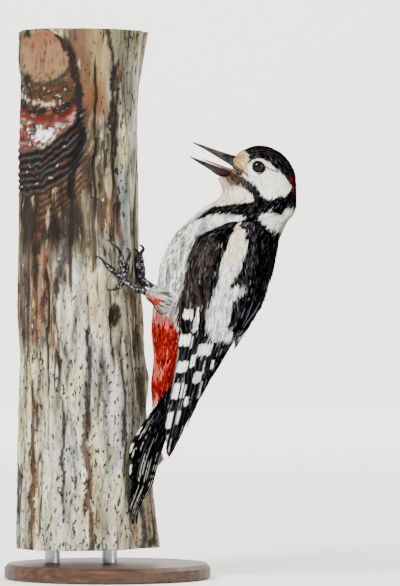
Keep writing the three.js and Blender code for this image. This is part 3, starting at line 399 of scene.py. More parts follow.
def bark_tint(points):
    """The bark's large patches of colour: pale grey-green, rust towards the left, and the old scar with its folds;
    with them how worn the bark is, how much it is ticked with short dark marks, and how much it is streaked."""
    turn, z = np.degrees(np.arctan2(points[:, 1], points[:, 0] - TRUNK_X)), points[:, 2]
    drawn = points * [0.14, 0.14, 0.028]
    broad, mid, fine = grain(drawn, 31), grain(drawn * 2.3, 33), grain(points * [0.5, 0.5, 0.09], 35)
    rgb, lay = canvas(len(points), (178, 176, 156))

    def zone(middle, half, low, high):
        across = fade(np.abs(turn_between(turn + 9 * mid, middle)), half - 5, half + 5)
        return across * ease(z, low - 7, low + 7) * fade(z, high - 7, high + 7)

    lay(0.7 * ease(mid + 0.5 * fine, 0.1, 0.8), (210, 209, 198))
    lay(0.7 * ease(-mid + 0.4 * fine, 0.1, 0.6), (112, 112, 94))
    lay(0.6 * ease(broad - 0.5 * fine, 0.1, 0.6), (168, 150, 102))
    lay(0.5 * ease(-broad + 0.6 * mid, 0.2, 0.6), (150, 152, 166))
    above = ease(z, 150, 200)
    lay(0.8 * above * ease(broad + 0.7 * fine, -0.5, 0.4), (104, 100, 78))
    lay(0.8 * zone(-155, 40, 120, 200), (92, 76, 56))
    lay(0.7 * zone(-150, 44, 120, 200) * ease(mid + 0.6 * fine, 0.1, 0.6), (112, 62, 32))
    lay(0.6 * zone(-150, 50, 120, 190) * ease(-mid + 0.6 * fine, 0.15, 0.6), (150, 134, 108))
    lay(0.97 * zone(-122, 40, 172, 210), (28, 21, 15))
    lay(0.65 * zone(-70, 20, 184, 238), (108, 98, 76))
    lay(0.7 * zone(-57, 13, 176, 214), (96, 62, 40))
    lay(0.95 * zone(-79, 19, 240, 292), (98, 78, 52))
    lay(0.9 * zone(-88, 9, 240, 290), (84, 58, 42))
    lay(0.9 * zone(-74, 9, 244, 290), (112, 92, 56))
    lay(0.7 * zone(-68, 7, 262, 290), (140, 128, 92))
    lay(0.7 * zone(-76, 13, 240, 256), (96, 52, 28))
    lay(0.8 * zone(-86, 4, 246, 255) * ease(fine, -0.1, 0.3), (110, 34, 34))
    lay(0.85 * zone(-38, 14, 196, 290), (88, 88, 72))
    lay(0.6 * zone(-38, 14, 196, 290) * ease(fine, 0.15, 0.5), (168, 170, 156))
    lay(0.55 * zone(-40, 6, 150, 215), (118, 132, 138))
    lay(0.75 * zone(-30, 13, 84, 168) * ease(fine + 0.5, -0.2, 0.5), (92, 80, 60))
    lay(0.85 * zone(-12, 22, 84, 160) * ease(fine + 0.5, -0.2, 0.6), (62, 48, 34))
    lay(0.8 * zone(15, 26, 16, 90), (92, 62, 40))
    lay(0.55 * ease(fine, 0.35, 0.7) * ease(-broad, -0.3, 0.4), (84, 70, 56))

    across = turn_between(turn, KNOT_TURN)
    scar = from_knot(turn, z)
    small, specks = grain(points * [0.3, 0.3, 0.55], 39), grain(points * [0.55, 0.55, 0.8], 40)
    crumbs = grain(points * [1.0, 1.0, 1.4], 42)
    show, wave, level = folds(turn, z)
    from_side = 32 * (1 + np.cos(np.radians(turn)))
    fan = ease(level, 178, 186) * fade(level, 199, 202) * ease(from_side, 6, 14) * fade(from_side, 37, 42)
    fan = fan * ease(across, -78, -62)
    for where, strength, mask, tone in (
        (fan, 0.85, 1, (70, 48, 32)),
        (fan, 0.6, ease(wave + 0.8 * small, 0.4, 1.0), (84, 70, 50)),
        (fan, 0.8, ease(small - 0.4 * wave, 0.2, 0.5), (62, 24, 16)),
        (fan, 0.9, ease(-wave, 0.5, 0.9), (22, 17, 16)),
        # Where the folds show, their troughs are painted near black and their crests paler brown with pale specks:
        # painted shade and light that follow the folds' relief. The red and blue-grey on the crests are the bark's
        # own.
        (show, 1, 1, (24, 20, 17)),
        (show, 0.8, ease(wave, 0.3, 1.0), (62, 50, 38)),
        (show, 0.8, ease(wave, 0.3, 0.9) * ease(small, 0.15, 0.4), (62, 20, 15)),
        (show, 0.7, ease(wave, 0.2, 0.9) * ease(-small, 0.2, 0.45), (46, 54, 64)),
        (show, 0.95, ease(-wave, -0.1, 0.6), (8, 8, 9)),
        (show, 0.8, ease(specks, 0.74, 0.82) * ease(wave, 0.1, 0.6), (170, 160, 146)),
    ):
        lay(strength * where * mask, tone)
    aside = from_side - 13
    sag = np.where(aside > 0, 10.5 * (np.abs(aside) / 18.5) ** 3, 5 * (aside / 12.3) ** 2) * (z < 262)
    high = z - sag + 1.2 * small
    reach = fade(from_side + 2.5 * specks, 29, 33) * ease(across, -78, -62)
    band = reach * np.maximum(fade(level, 226, 229), ease(z, 226, 230)) * ease(level, 222, 226) * fade(z, 257, 262)
    lay(band, (58, 42, 28))
    lay(0.9 * band * ease(small + 0.9 * specks, 0.1, 0.5), (84, 46, 24))
    lay(0.9 * band * ease(-small + 0.9 * specks, 0.2, 0.5), (24, 17, 12))
    lay(0.85 * band * ease(crumbs + specks - 0.3 * small, 0.75, 0.9), (160, 148, 118))
    lay(0.8 * band * ease(-crumbs, 0.3, 0.5), (22, 14, 10))
    lay(0.9 * band * bump(high - 253, 1.0) * ease(specks, -0.2, 0.2), (30, 20, 14))
    pale = band * fade(high, 236, 239)
    lay(pale, (92, 80, 62))
    bleached = ease(0.6 * crumbs + 0.7 * specks + 0.5 * small, 0.15, 0.45) * (0.45 + 0.55 * bump(aside, 13))
    lay(pale * bleached, (200, 194, 184))
    lay(0.9 * pale * ease(-small + 0.7 * crumbs, 0.14, 0.3), (84, 6, 18))
    lay(0.8 * pale * ease(specks + 0.6 * crumbs, 0.3, 0.45) * ease(from_side, 14, 22), (150, 70, 78))
    lay(0.9 * pale * ease(np.sin(high * 3.4 + 3 * specks), 0.3, 0.8) * ease(-crumbs, -0.2, 0.3), (40, 32, 24))
    lay(0.9 * reach * bump(high - 238.8, 1.9) * ease(specks + 0.5, 0, 0.4), (96, 6, 14))
    lay(0.9 * reach * bump(high - 247.6, 1.0) * fade(aside, 2, 8) * ease(specks + 0.3, 0, 0.3), (190, 180, 156))
    lay(0.97 * reach * bump(high - 243.2, 2.7), (12, 9, 8))
    lay(0.9 * reach * bump(high - 243.4, 1.0) * bump(aside - 3, 5) * ease(small, 0, 0.2), (110, 52, 22))
    burst = np.hypot((aside + 1) / 5.2, (z - 232) / 3.8) + 0.8 * specks + 0.3 * crumbs
    lay(fade(burst, 0.6, 0.95) * reach, (236, 234, 228))
    lay(reach * bump(scar - 1.02, 0.1), (44, 32, 22))
    lay(fade(scar + 0.06 * specks, 0.86, 0.98), (116, 88, 62))
    lay(fade(scar, 0.8, 0.95) * 0.6 * ease(z + 5 * mid, 270, 284), (126, 74, 56))
    lay(fade(scar, 0.75, 0.95) * 0.6 * fade(z + 4 * mid, 261, 268), (108, 88, 52))
    lashes = grain(points * [0.9, 0.9, 0.3], 44)
    lay(0.6 * fade(scar, 0.85, 0.95) * ease(lashes, 0.2, 0.4), (60, 38, 26))
    lay(0.85 * reach * bump(z - 259 - across ** 2 / 260, 3) * ease(lashes, -0.3, 0.2), (46, 35, 22))

    wobble = 2.2 * grain(spots(z / 7), 41) + 1.2 * fine
    for low_turn, low, high_turn, high, half, strength, tone in STROKES:
        s = np.clip((z - low) / (high - low), 0, 1)
        gone = np.maximum(0, np.maximum(min(low, high) - z, z - max(low, high))) / 5
        off = np.hypot(turn_between(turn, low_turn + (high_turn - low_turn) * s + wobble) / half, gone)
        lay(strength * fade(off + 0.35 * specks, 0.55, 1.15), tone, 0.5)
    bare = fade(np.hypot(turn_between(turn, -58.5) / 6, (z - 207.5) / 9) + 0.2 * fine, 0.75, 1.05)
    lay(bare, (150, 142, 108))
    # The hollow is painted near black, with the dark set a little above the hollow's middle: painted shade inside it.
    # A rusty brown is laid over its lower part.
    hole = np.hypot(turn_between(turn, HOLLOW_TURN) / HOLLOW_WIDE, (z - HOLLOW_HEIGHT - 3) / HOLLOW_TALL)
    lay(0.97 * fade(hole + 0.2 * fine, 0.65, 1.0), (9, 7, 6))
    lay(0.7 * fade(hole, 0.6, 0.9) * fade(z - HOLLOW_HEIGHT, -6, 1), (62, 28, 15))
    sawn = ease(np.hypot(points[:, 0] - TRUNK_X, points[:, 1]), 25, 29)
    end = (np.abs(z - TRUNK_TOP) < 0.01) | (np.abs(z - TRUNK_FOOT) < 0.01)
    rings = 0.5 + 0.5 * np.cos(np.hypot(points[:, 0] - TRUNK_X, points[:, 1]) * 3.1)
    lay(end * (1 - sawn), (206, 180, 138))
    lay(end * (1 - sawn) * 0.5 * rings, (170, 136, 92))

    plain = np.clip(fade(scar, 0.85, 1.0) + end * (1 - sawn) + show + band, 0, 1)
    wash, shade = zone(-76, 18, 243, 300), zone(-122, 38, 178, 212)
    wear = 0.15 + 0.85 * ease(z + 12 * broad, 140, 190) * (1 - 0.9 * wash) * fade(turn_between(turn, -50), 0, 12)
    wear = np.maximum(wear, 0.8 * zone(-150, 50, 110, 200))
    ticks = 0.25 + 0.75 * np.maximum(fade(z + 14 * broad, 110, 165), zone(-38, 16, 190, 290))
    wear = wear * (1 - plain) - 2.5 * np.maximum(plain, bare) - 1.5 * wash - shade
    return rgb, wear, ticks * (1 - plain), np.clip(1 - 0.8 * plain - 0.6 * wash - 0.6 * bare, 0, 1)


for name, values in zip(("tint", "wear", "ticks", "streaked"), bark_tint(points)):
    give_values(trunk, name, values)
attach(trunk, "root")
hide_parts("perch_trunk")

# ---------------------------------------------------------------- the display stand
# A round base of dark stained hardwood with a softened rim, and two satin steel rods that carry the trunk.
def grained(name, roughness, scale, stops, relief=None, settings=(), **inputs):
    """A material of one grain, whose colour runs through stops; relief is the strength and depth of its bumps."""
    material, tree, shader = new_material(name, roughness, **dict(settings))
    lines = pattern(tree, scale, **inputs)
    tone = ramp(tree, lines, [(place, colour(*rgb)) for place, rgb in stops])
    dress(tree, shader, tone, *(lines, *relief) if relief else ())
    return material


stained_wood = grained(
    "stained hardwood", 0.5, 420, [(0.3, (38, 24, 17)), (0.55, (66, 42, 28)), (0.75, (90, 60, 40))], (0.2, 0.0002),
    {"Specular_IOR_Level": 0.25, "Coat_Weight": 0.08, "Coat_Roughness": 0.3},
    stretch=(0.12, 1, 1), Detail=5, Distortion=0.4)
satin_steel = grained("satin steel", 0.32, 240, [(0.3, (150, 152, 155)), (0.7, (186, 188, 190))], None,
                      {"Metallic": 1.0}, stretch=(1, 1, 14), Detail=2)
for name, material in (("stand_base", stained_wood), ("stand_rod_1", satin_steel), ("stand_rod_2", satin_steel)):
    nodes[name].data.materials.clear()
    nodes[name].data.materials.append(material)

# ---------------------------------------------------------------- the bird's skin
# One closed skin over head, neck, body and thighs, a coat's depth under the feathers and marked as they are, in darker
# tones as painted shade under them.
# The open mouth is cut into it and lined in pink; the bill, tail, wings and legs grow out of it.
HEAD_PIVOT, HEAD_TURN = 108.0, 20.0
FIRST_STATION = -2  # the number of the first row below; 0 is where the CAD torso starts
# back x, back z, front x, front z, half width, degrees turned to the left
BODY_LINE = np.array([
    [52, 81, 39, 76, 7, 0], [58.5, 92, 42, 83.5, 7.5, 0], [64.7, 101.7, 43.3, 91, 8, 0],
    [73.4, 109.8, 43, 101.7, 11.5, 0], [81.3, 120, 45.1, 116, 15, 0], [92.5, 131.3, 43.8, 129.2, 17.5, 0],
    [100, 142.5, 44.8, 141.5, 19, 0], [106.2, 155.7, 47.4, 153.7, 19.8, 0], [110.8, 168, 49.7, 165.9, 20, 0],
    [115.2, 177.7, 56, 177.7, 19.6, 0], [118.9, 184.8, 64.7, 185.8, 18, 3], [121.6, 189.9, 74.4, 193, 15.8, 8],
    [123.8, 195, 82.8, 197.1, 14.2, 14], [124.4, 201.1, 86, 201.1, 13.4, 18], [123.5, 209.3, 85.9, 204.2, 13.2, 20],
    [120.4, 216.2, 85.2, 205.6, 13.1, 20], [115.2, 221.5, 84.6, 206.5, 12.9, 20],
    [108.5, 224.4, 84.2, 207.3, 12.3, 20], [102.9, 224.6, 84, 207.8, 11, 20], [98.5, 223.4, 84.4, 208.1, 8.8, 20],
    [95.4, 221.8, 85.4, 208.1, 6.4, 20], [93.6, 220, 86.9, 208.3, 4.9, 20]])
HIP, KNEE, HEEL = (64.0, 9.5, 143.0), (53.5, 10.5, 147.5), (46.8, 10.3, 148.6)
# from the hip to the heel
THIGH_RADII = np.array([[10.0], [9.4], [8.0], [6.3], [4.6], [3.2]])
EYE_X, EYE_SIDE, EYE_Z, EYE_RADIUS = 106.2, 9.2, 213.9, 4.0
COAT_DEEP = 1.0
# Where the bill is bare, in the head's own plane; the mouth's corner is the notch near the end of the list.
BARE_BILL = pairs(
    72, 222, 72, 231, 89.9, 223.4, 94.0, 215.2, 92.8, 213.6, 93.9, 212.2, 92.6, 211.3, 91.6, 210.0, 90, 208.9,
    82.3, 209.3, 72, 212.5)
NOTCH = (4, 5)  # the two sides of it that are lined with the mouth's flesh


def read_curve(rows, place):
    """The smooth curve through rows of numbers, read at places counted in rows."""
    rows = np.asarray(rows, float)
    padded = np.vstack([2 * rows[0] - rows[1], rows, 2 * rows[-1] - rows[-2]])
    first = np.clip(np.floor(place).astype(int), 0, len(rows) - 2)
    s = (place - first)[..., None]
    a, b, c, d = (padded[first + k] for k in range(4))
    return 0.5 * (2 * b + (c - a) * s + (2 * a - 5 * b + 4 * c - d) * s ** 2 + (3 * b - a - 3 * c + d) * s ** 3)


def unit(v):
    return v / np.linalg.norm(v, axis=-1, keepdims=True)


def to_world(x, y, z):
    """A point of the bird's own frame (x towards its back, y to its right) in the model's frame."""
    turn = np.radians(BIRD_TURN)
    return np.stack([x * np.cos(turn) - y * np.sin(turn) + TRUNK_X, x * np.sin(turn) + y * np.cos(turn), z], axis=-1)


def in_head(x, y, z, turn=HEAD_TURN):
    """A point given along the head's own mid-plane, y to its right."""
    turn, arm = np.radians(turn), x - HEAD_PIVOT
    return to_world(HEAD_PIVOT + arm * np.cos(turn) - y * np.sin(turn), arm * np.sin(turn) + y * np.cos(turn), z)


def on_guide(guide, place, angle, out=0.0):
    """A point round an oval of a guide: 0 is the back, 90 the left side, 180 the front."""
    row = read_curve(guide, place)
    back, front, half, turn = row[..., 0:2], row[..., 2:4], row[..., 4], row[..., 5]
    deep = np.linalg.norm(back - front, axis=-1) / 2
    a = np.radians(angle)
    mid = (back + front) / 2 + (back - front) * ((deep + out) * np.cos(a) / (2 * deep))[..., None]
    return in_head(mid[..., 0], -(half + out) * np.sin(a), mid[..., 1], turn)


def on_body(t, angle, out=0.0):
    return on_guide(BODY_LINE, t - FIRST_STATION, angle, out)


def on_thigh(sign):
    """The thigh's surface as a function like on_body: 0 at the hip to 5 at the heel, round its middle line."""
    line = np.array([HIP, KNEE, HEEL]) * [1, sign, 1]

    def surface(t, angle, out=0.0):
        path = lambda place: read_curve(line, place * 0.4)
        ahead = unit(path(t + 0.05) - path(t - 0.05))
        side = unit(np.cross(ahead, [0, 0, 1.0]))
        up = np.cross(side, ahead)
        r = (read_curve(THIGH_RADII, t)[..., 0] + out)[..., None]
        a = np.radians(angle)[..., None]
        return to_world(*np.moveaxis(path(t) + r * (up * np.cos(a) + side * np.sin(a)), -1, 0))

    return surface


# Markings: outlines on the bird's left side as it is seen square to the trunk, x and z.
CROWN = pairs(
    67.6, 224.8, 71.8, 222.2, 73.4, 219.6, 73.6, 215.6, 75.2, 216.9, 78, 218.2, 80.9, 217.8, 83.1, 216.4, 85.2, 214.9,
    87.2, 212.9, 90.3, 210.8, 92.3, 208.8, 93.8, 207.2, 95.4, 209.3, 112, 209.3, 112, 236, 66.5, 236)
FOREHEAD = pairs(
    62, 221.5, 64.8, 223.8, 68.2, 223.6, 71.6, 221.6, 73.2, 219.4, 73.4, 216.9, 72.4, 213.9, 71.9, 210.8, 69.9, 212.5,
    66, 213.5, 62, 216)
CHEEK = pairs(
    72.9, 209.8, 73.6, 214.9, 75, 217, 77.5, 218, 80.1, 218, 82.1, 216.4, 84.2, 215.9, 86.2, 213.9, 88.2, 211.3,
    91.3, 208.8, 93.3, 206.7, 94.9, 204.7, 95.4, 203.2, 94.4, 201.1, 92.8, 199.6, 88.2, 199.1, 85.2, 198.1,
    82.1, 198.6, 80.1, 200.6, 78, 203.7, 76, 206.2, 74, 207.8)
NAPE = pairs(
    93.8, 207.6, 95, 209.6, 112, 209.6, 112, 198.6, 96, 198.4, 96.4, 202.2, 95.9, 204.7)
GAPE_FEATHERS = pairs(
    63.6, 208.4, 65.8, 211, 70.4, 209.1, 75.5, 205.4, 78.4, 201.5, 77, 198.6, 73.5, 201.4, 68.7, 204)
CHIN_FEATHERS = pairs(
    57, 211, 61.9, 212, 65.3, 209.6, 69.6, 206.4, 68.4, 204, 64.4, 204.6, 60.4, 207)
CHIN_SHADE = pairs(
    62.4, 205.6, 66, 205.2, 68.4, 203.6, 66.4, 201.4, 62.8, 201.8)
COLLAR = pairs(
    74, 204.7, 77, 204.7, 79, 201.6, 81.1, 198.6, 84.2, 197.1, 89.2, 198.6, 93.3, 199.1, 95.4, 201.4, 97, 199,
    112, 198.9, 112, 193, 96.9, 193, 94.4, 192.5, 91.3, 192.5, 90.3, 189.9, 87.2, 189.7, 85.2, 192, 82.1, 189.9,
    79, 190.4, 77.5, 193, 77, 196, 75.5, 199.1, 74, 201.6)
BREAST_BAND = pairs(
    45, 188, 51.5, 192.5, 55.1, 194.4, 59.7, 194.4, 66.3, 195, 71.4, 195.5, 77, 196.5, 79, 193, 80.1, 189.9,
    78.6, 187, 74, 185.6, 71.8, 187.4, 70.4, 188.6, 66.8, 189.4, 62.7, 189.8, 57.6, 189.6, 52.5, 189, 48, 186.6)
NECK_PATCH = pairs(
    77, 190.4, 80.1, 189.9, 84.2, 190.4, 88.2, 189.4, 90.8, 189.9, 91.3, 192.5, 93.3, 193.5, 95.4, 193.5, 94.4, 190.4,
    91.8, 186.3, 89.8, 183.3, 89.2, 181.2, 87.2, 180.2, 85.2, 181.2, 83.1, 183.3, 81.1, 185.3, 79, 187.4)
VENT = pairs(
    15, 150, 26, 146, 29.6, 141, 35, 136, 39, 126, 38.4, 116, 36.5, 107, 34.5, 104, 31.5, 100, 28.5, 96.5, 24.5, 90.5,
    22, 88.5, 15, 88)
MANTLE_FROM = pairs(  # height, and x beyond which the side is black
    75, -60, 100, 20, 112, 40, 125, 46, 150, 46, 165, 48, 176, 52, 184, 62, 187, 71.5, 190, 78, 192.5, 91, 194, 93)
# Of these, the blue-black is black with a painted blue sheen in it.
BLACK, SHEEN_BLUE_BLACK, WHITE, CREAM = (4, 4, 5), (13, 16, 25), (242, 240, 232), (232, 218, 184)
BUFF, GREY, BROWN, RED = (184, 144, 90), (84, 90, 96), (92, 76, 62), (118, 10, 10)
EYE_SEEN = in_head(EYE_X, -EYE_SIDE - EYE_RADIUS, EYE_Z)[[0, 2]]


def depth_inside(points, outline):
    """How far points lie inside an outline, negative outside it."""
    outline = np.array(outline, float)
    inside = np.zeros(len(points), bool)
    nearest = np.full(len(points), 1e9)
    x, z = points[:, 0], points[:, 1]
    for a, b in zip(outline, np.roll(outline, -1, axis=0)):
        edge = b - a
        s = np.clip(((points - a) @ edge) / (edge @ edge), 0, 1)
        nearest = np.minimum(nearest, np.hypot(x - a[0] - s * edge[0], z - a[1] - s * edge[1]))
        crosses = (a[1] > z) != (b[1] > z)
        inside ^= crosses & (x < a[0] + edge[0] * (z - a[1]) / (edge[1] if edge[1] else 1e-9))
    return np.where(inside, nearest, -nearest)


def plumage(t, angle):
    """The colour of the feathers at a place on the body, from the markings, the same on both sides."""
    t, angle = t.ravel(), np.abs(turn_between(angle.ravel(), 0))
    seen = on_body(t, np.minimum(angle, 150))
    flat = seen[:, [0, 2]]
    x, z = flat.T
    rag = 0.5 * grain(seen * [0.9, 0.9, 0.5], 41)
    wide = grain(seen * [0.35, 0.35, 0.12], 43)
    fine = grain(seen * [1.6, 1.6, 0.4], 47)
    rgb, lay = canvas(len(t), WHITE)

    def area(outline, soft=0.5):
        return ease(depth_inside(flat, outline) + rag, -soft, soft)

    body_side = fade(t, 8.6, 9.4)
    lay(0.85 * ease(wide, -0.15, 0.4) * body_side, (112, 118, 124))
    lay(0.75 * ease(fine, 0.05, 0.5) * body_side * fade(t, 6.5, 8), GREY)
    hairs = grain(seen * [2.6, 2.6, 0.45], 49)
    lay(0.85 * ease(hairs, 0.2, 0.42) * body_side * fade(t, 7.4, 8.6), (38, 42, 48))
    lay(0.9 * ease(hairs, 0.0, 0.25) * bump(t - 3.4, 1.3) * ease(angle, 92, 110), (44, 48, 52))
    throat = ease(t, 8.8, 9.8)
    lay(0.75 * throat * ease(84 - x, -6, 14), CREAM)
    lay(0.35 * throat * ease(fine, 0.3, 0.8), BUFF)
    chin = ease(66 - x, -3, 5) * throat
    lay(0.55 * chin * ease(fine + 0.3, 0.1, 0.7), (110, 102, 84))
    lay(0.7 * throat * ease(hairs, 0.42, 0.6), (96, 88, 72))
    edge = table(MANTLE_FROM, z)
    lay(ease(x - edge + rag, -0.7, 0.7) * (angle < 112), BLACK)
    vent = area(VENT, 1.2)
    lay(vent * (1 - 0.5 * ease(t, 3, 3.9) * ease(fine, -0.2, 0.3)), RED)
    lay(0.7 * vent * ease(fine, 0.1, 0.45), (186, 52, 22))
    lay(0.75 * vent * ease(-fine, 0.1, 0.45), (70, 6, 8))
    lay(vent * 0.75 * ease(wide + 0.5 * fine, -0.1, 0.4), (104, 10, 8))
    lay(vent * 0.6 * ease(-wide + 0.5 * fine, 0.25, 0.6), (210, 112, 96))
    lay(vent * ease(t, 3.2, 4.4) * ease(wide, -0.3, 0.3), WHITE)
    patch = area(NECK_PATCH, 0.7)
    lay(patch, WHITE)
    lay(0.9 * patch * ease(hairs, 0.16, 0.32) * fade(z, 184, 188.5), BLACK)
    lay(area(BREAST_BAND) * fade(angle, 128, 142), BLACK)
    crown, cheek, gape = area(CROWN, 0.35), area(CHEEK), area(GAPE_FEATHERS, 0.7)
    lay(crown, BLACK)
    # Painted highlights: pale grey hairs over the black crown.
    lay(0.55 * crown * ease(hairs, 0.4, 0.55), (96, 90, 86))
    lay(cheek, (244, 241, 232))
    lay(cheek * 0.3 * ease(wide + fine * 0.4, 0.1, 0.7), CREAM)
    lay(area(COLLAR), BLACK)
    lay(gape, (52, 47, 39))
    lay(gape * ease(fine + 0.4 * wide, -0.3, 0.15) * ease(70.5 - x, -2, 1.5), BLACK)
    # Painted sheen: blue-black over the rear of the gape's feathers.
    lay(gape * 0.9 * ease(x, 71, 75), SHEEN_BLUE_BLACK)
    chin, brow, nape = area(CHIN_FEATHERS, 0.8), area(FOREHEAD), area(NAPE)
    lay(0.9 * chin * ease(fine + 0.6, 0.1, 0.5), (64, 36, 24))
    lay(0.85 * chin * ease(-fine, 0.0, 0.3), (26, 17, 15))
    lay(0.6 * ease(depth_inside(flat, CHIN_SHADE) + rag, -0.8, 0.8) * ease(fine, -0.3, 0.2), (66, 66, 70))
    lay(area(FOREHEAD, 1.0), BUFF)
    lay(brow * 0.7 * ease(hairs, 0.15, 0.5), (120, 80, 40))
    lay(brow * 0.7 * ease(-hairs, 0.2, 0.5), (236, 226, 200))
    lay(brow * ease(z + fine, 219, 222.5), (238, 230, 206))
    lay(nape, (66, 2, 8))
    lay(nape * 0.7 * ease(fine, 0.0, 0.5), (30, 3, 5))
    on_head = t > 11
    round_eye = np.hypot(x - EYE_SEEN[0], z - EYE_SEEN[1])
    lay(on_head * fade(round_eye + 0.3 * rag, 3.8, 4.3) * ease(z - x, 128, 131), WHITE)
    lay(on_head * 0.6 * bump(round_eye - 5.4, 0.35) * (x < 80), (70, 62, 54))
    corner = area(pairs(63.6, 213.8, 66.6, 214.2, 70.4, 211.4, 72, 209.8, 68.4, 209.6, 64.4, 211), 0.4)
    lay(corner, (112, 94, 88))
    lay(corner * ease(fine + 0.3 * rag, 0.05, 0.3), (84, 24, 26))
    lay(corner * ease(-fine, -0.1, 0.2), (14, 12, 12))
    gape_line = depth_inside(flat, pairs(67.4, 214.6, 72.4, 210.6, 74.2, 208.8, 71.9, 209.8, 67, 213.8))
    lay(0.85 * ease(gape_line + 0.3 * rag, -0.45, 0.1) * (t > 12), (52, 36, 34))
    line = depth_inside(flat, pairs(82.4, 214.2, 84.4, 212.8, 88.6, 211.6, 88.4, 211.3, 84.2, 212.3, 82.2, 213.2))
    lay(ease(line, -0.45, 0.1) * on_head, BROWN)
    return rgb


skin_tone, tree, shader = new_material("down and skin", 0.85, Specular_IOR_Level=0.0)
down = pattern(tree, 900, Detail=3)
shade = ramp(tree, down, [(0.3, (0.55, 0.55, 0.57)), (0.7, 1)])
dress(tree, shader, mix_colours(tree, 1.0, carried(tree, "plumage", "Color"), shade, "MULTIPLY"), down, 0.6, 0.0004)
mouth_flesh = grained("mouth lining", 0.35, 700, [(0.3, (150, 58, 56)), (0.7, (206, 118, 108))], None,
                      {"Subsurface_Weight": 0.15}, Detail=3)


def close_ends(points, faces, cols):
    """Fans over the first and last row of a grid that is closed round."""
    last = len(points) - cols
    points = np.vstack([points, points[:cols].mean(axis=0), points[last:].mean(axis=0)])
    around = np.arange(cols)
    first_fan = np.stack([np.full(cols, len(points) - 2), np.roll(around, -1), around], axis=1)
    last_fan = np.stack([np.full(cols, len(points) - 1), last + around, last + np.roll(around, -1)], axis=1)
    split = np.vstack([faces[:, [0, 1, 2]], faces[:, [0, 2, 3]]])
    return points, np.vstack([split, first_fan, last_fan])


def outward(points, faces):
    """The same triangles, turned where the closed surface would face inwards."""
    a, b, c = (points[faces[:, k]] for k in range(3))
    return faces if np.einsum("ij,ij->", a, np.cross(b, c)) > 0 else faces[:, ::-1]


def tube(surface, start, end, rows, cols, inset):
    """A closed tube read off a surface function, moved inwards by an inset at each row."""
    t, angle = np.meshgrid(np.linspace(start, end, rows), np.arange(cols) * 360 / cols, indexing="ij")
    points = surface(t, angle, -np.broadcast_to(inset(t), t.shape)).reshape(-1, 3)
    points, faces = close_ends(points, sheet_faces(rows, cols, closed=True), cols)
    return points, outward(points, faces), t.ravel(), angle.ravel()


def combine(piece, others, operation):
    """Boolean of a piece with other closed objects, which are removed."""
    for other in others:
        cut = piece.modifiers.new(other.name, "BOOLEAN")
        cut.operation, cut.solver, cut.object = operation, "EXACT", other
        cut.material_mode = "TRANSFER"
    bpy.context.view_layer.update()
    mesh = bpy.data.meshes.new_from_object(piece.evaluated_get(bpy.context.evaluated_depsgraph_get()))
    piece.modifiers.clear()
    piece.data = mesh
    for other in others:
        bpy.data.objects.remove(other)


SKIN_FROM, SKIN_TO, SKIN_RINGS, SKIN_SIDES = -1.6, 19, 150, 100
THIN_FROM, THIN_TO = 16.5, 18.8  # rows of the body over which the coat thins towards the bill
OWN_SKIN = 1.5  # millimetres from the body's own points; further away the skin is a thigh's
# Painted shade: the skin under the coat is painted darker than the feathers over it.
UNDER_COAT_SHADE = 0.8  # the skin's brightness beside that of the feathers over it
body_inset = lambda t: COAT_DEEP * (1 - 0.7 * ease(t, THIN_FROM, THIN_TO))
points, faces, t, angle = tube(on_body, SKIN_FROM, SKIN_TO, SKIN_RINGS, SKIN_SIDES, body_inset)
skin = new_mesh("skin", points, faces, skin_tone)
grid_points = points[:-2]
grid_rgb = plumage(t, angle)
sleeves = []
for sign in (-1, 1):
    points, faces, t, angle = tube(on_thigh(sign), 0, 5, 24, 32, lambda t: 0.8)
    sleeves.append(new_mesh("sleeve", points, faces, skin_tone))
combine(skin, sleeves, "UNION")
corners = np.array(BARE_BILL)
points = np.array([in_head(x, y, z) for y in (-16, 16) for x, z in corners])
count = len(corners)
fan = np.array([[0, k, k + 1] for k in range(1, count - 1)])
ring = np.arange(count)
walls = np.stack([ring, np.roll(ring, -1), np.roll(ring, -1) + count, ring + count], axis=1)
faces = outward(points, np.vstack([fan, fan[:, ::-1] + count, walls[:, [1, 0, 3]], walls[:, [1, 3, 2]]]))
bed = new_mesh("bill bed", points, faces, skin_tone, smooth=False)
bed.data.materials.append(mouth_flesh)
for k in NOTCH:
    for wall in (2 * (count - 2) + k, 2 * (count - 2) + count + k):
        bed.data.polygons[wall].material_index = 1
combine(skin, [bed], "DIFFERENCE")

tree_of_points = KDTree(len(grid_points))
for i, p in enumerate(grid_points):
    tree_of_points.insert(p, i)
tree_of_points.balance()
co = np.empty(len(skin.data.vertices) * 3)
skin.data.vertices.foreach_get("co", co)
co = co.reshape(-1, 3) * 1000
near, away = zip(*[tree_of_points.find(p)[1:] for p in co])
tone = grid_rgb[list(near)]
tone[np.array(away) > OWN_SKIN] = colour(170, 168, 160)
give_values(skin, "plumage", tone * UNDER_COAT_SHADE)
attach(skin, "root")
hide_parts("head", "neck", "torso", "thigh_left", "thigh_right")

# ---------------------------------------------------------------- the coat of small feathers
# Every small feather is a fan of narrow barbs rooted in the skin that follows its curve back towards the tail,
# the row in front lying over the roots of the row behind. They are shortest round the bill and eyes.
GROUP_COLOUR, GROUP_VALUE = "NodeSocketColor", "NodeSocketFloat"
barb_grain = bpy.data.node_groups.new("barb grain", "ShaderNodeTree")
for name, kind in (("Tone", GROUP_COLOUR), ("Size", GROUP_VALUE), ("Depth", GROUP_VALUE)):
    barb_grain.interface.new_socket(name, in_out="INPUT", socket_type=kind)
for name, kind in (("Tone", GROUP_COLOUR), ("Roughness", GROUP_VALUE), ("Height", GROUP_VALUE)):
    barb_grain.interface.new_socket(name, in_out="OUTPUT", socket_type=kind)
given = barb_grain.nodes.new("NodeGroupInput")
result = barb_grain.nodes.new("NodeGroupOutput")
hairs = pattern(barb_grain, given.outputs["Size"], stretch=(1, 1, 0.35), Detail=3)
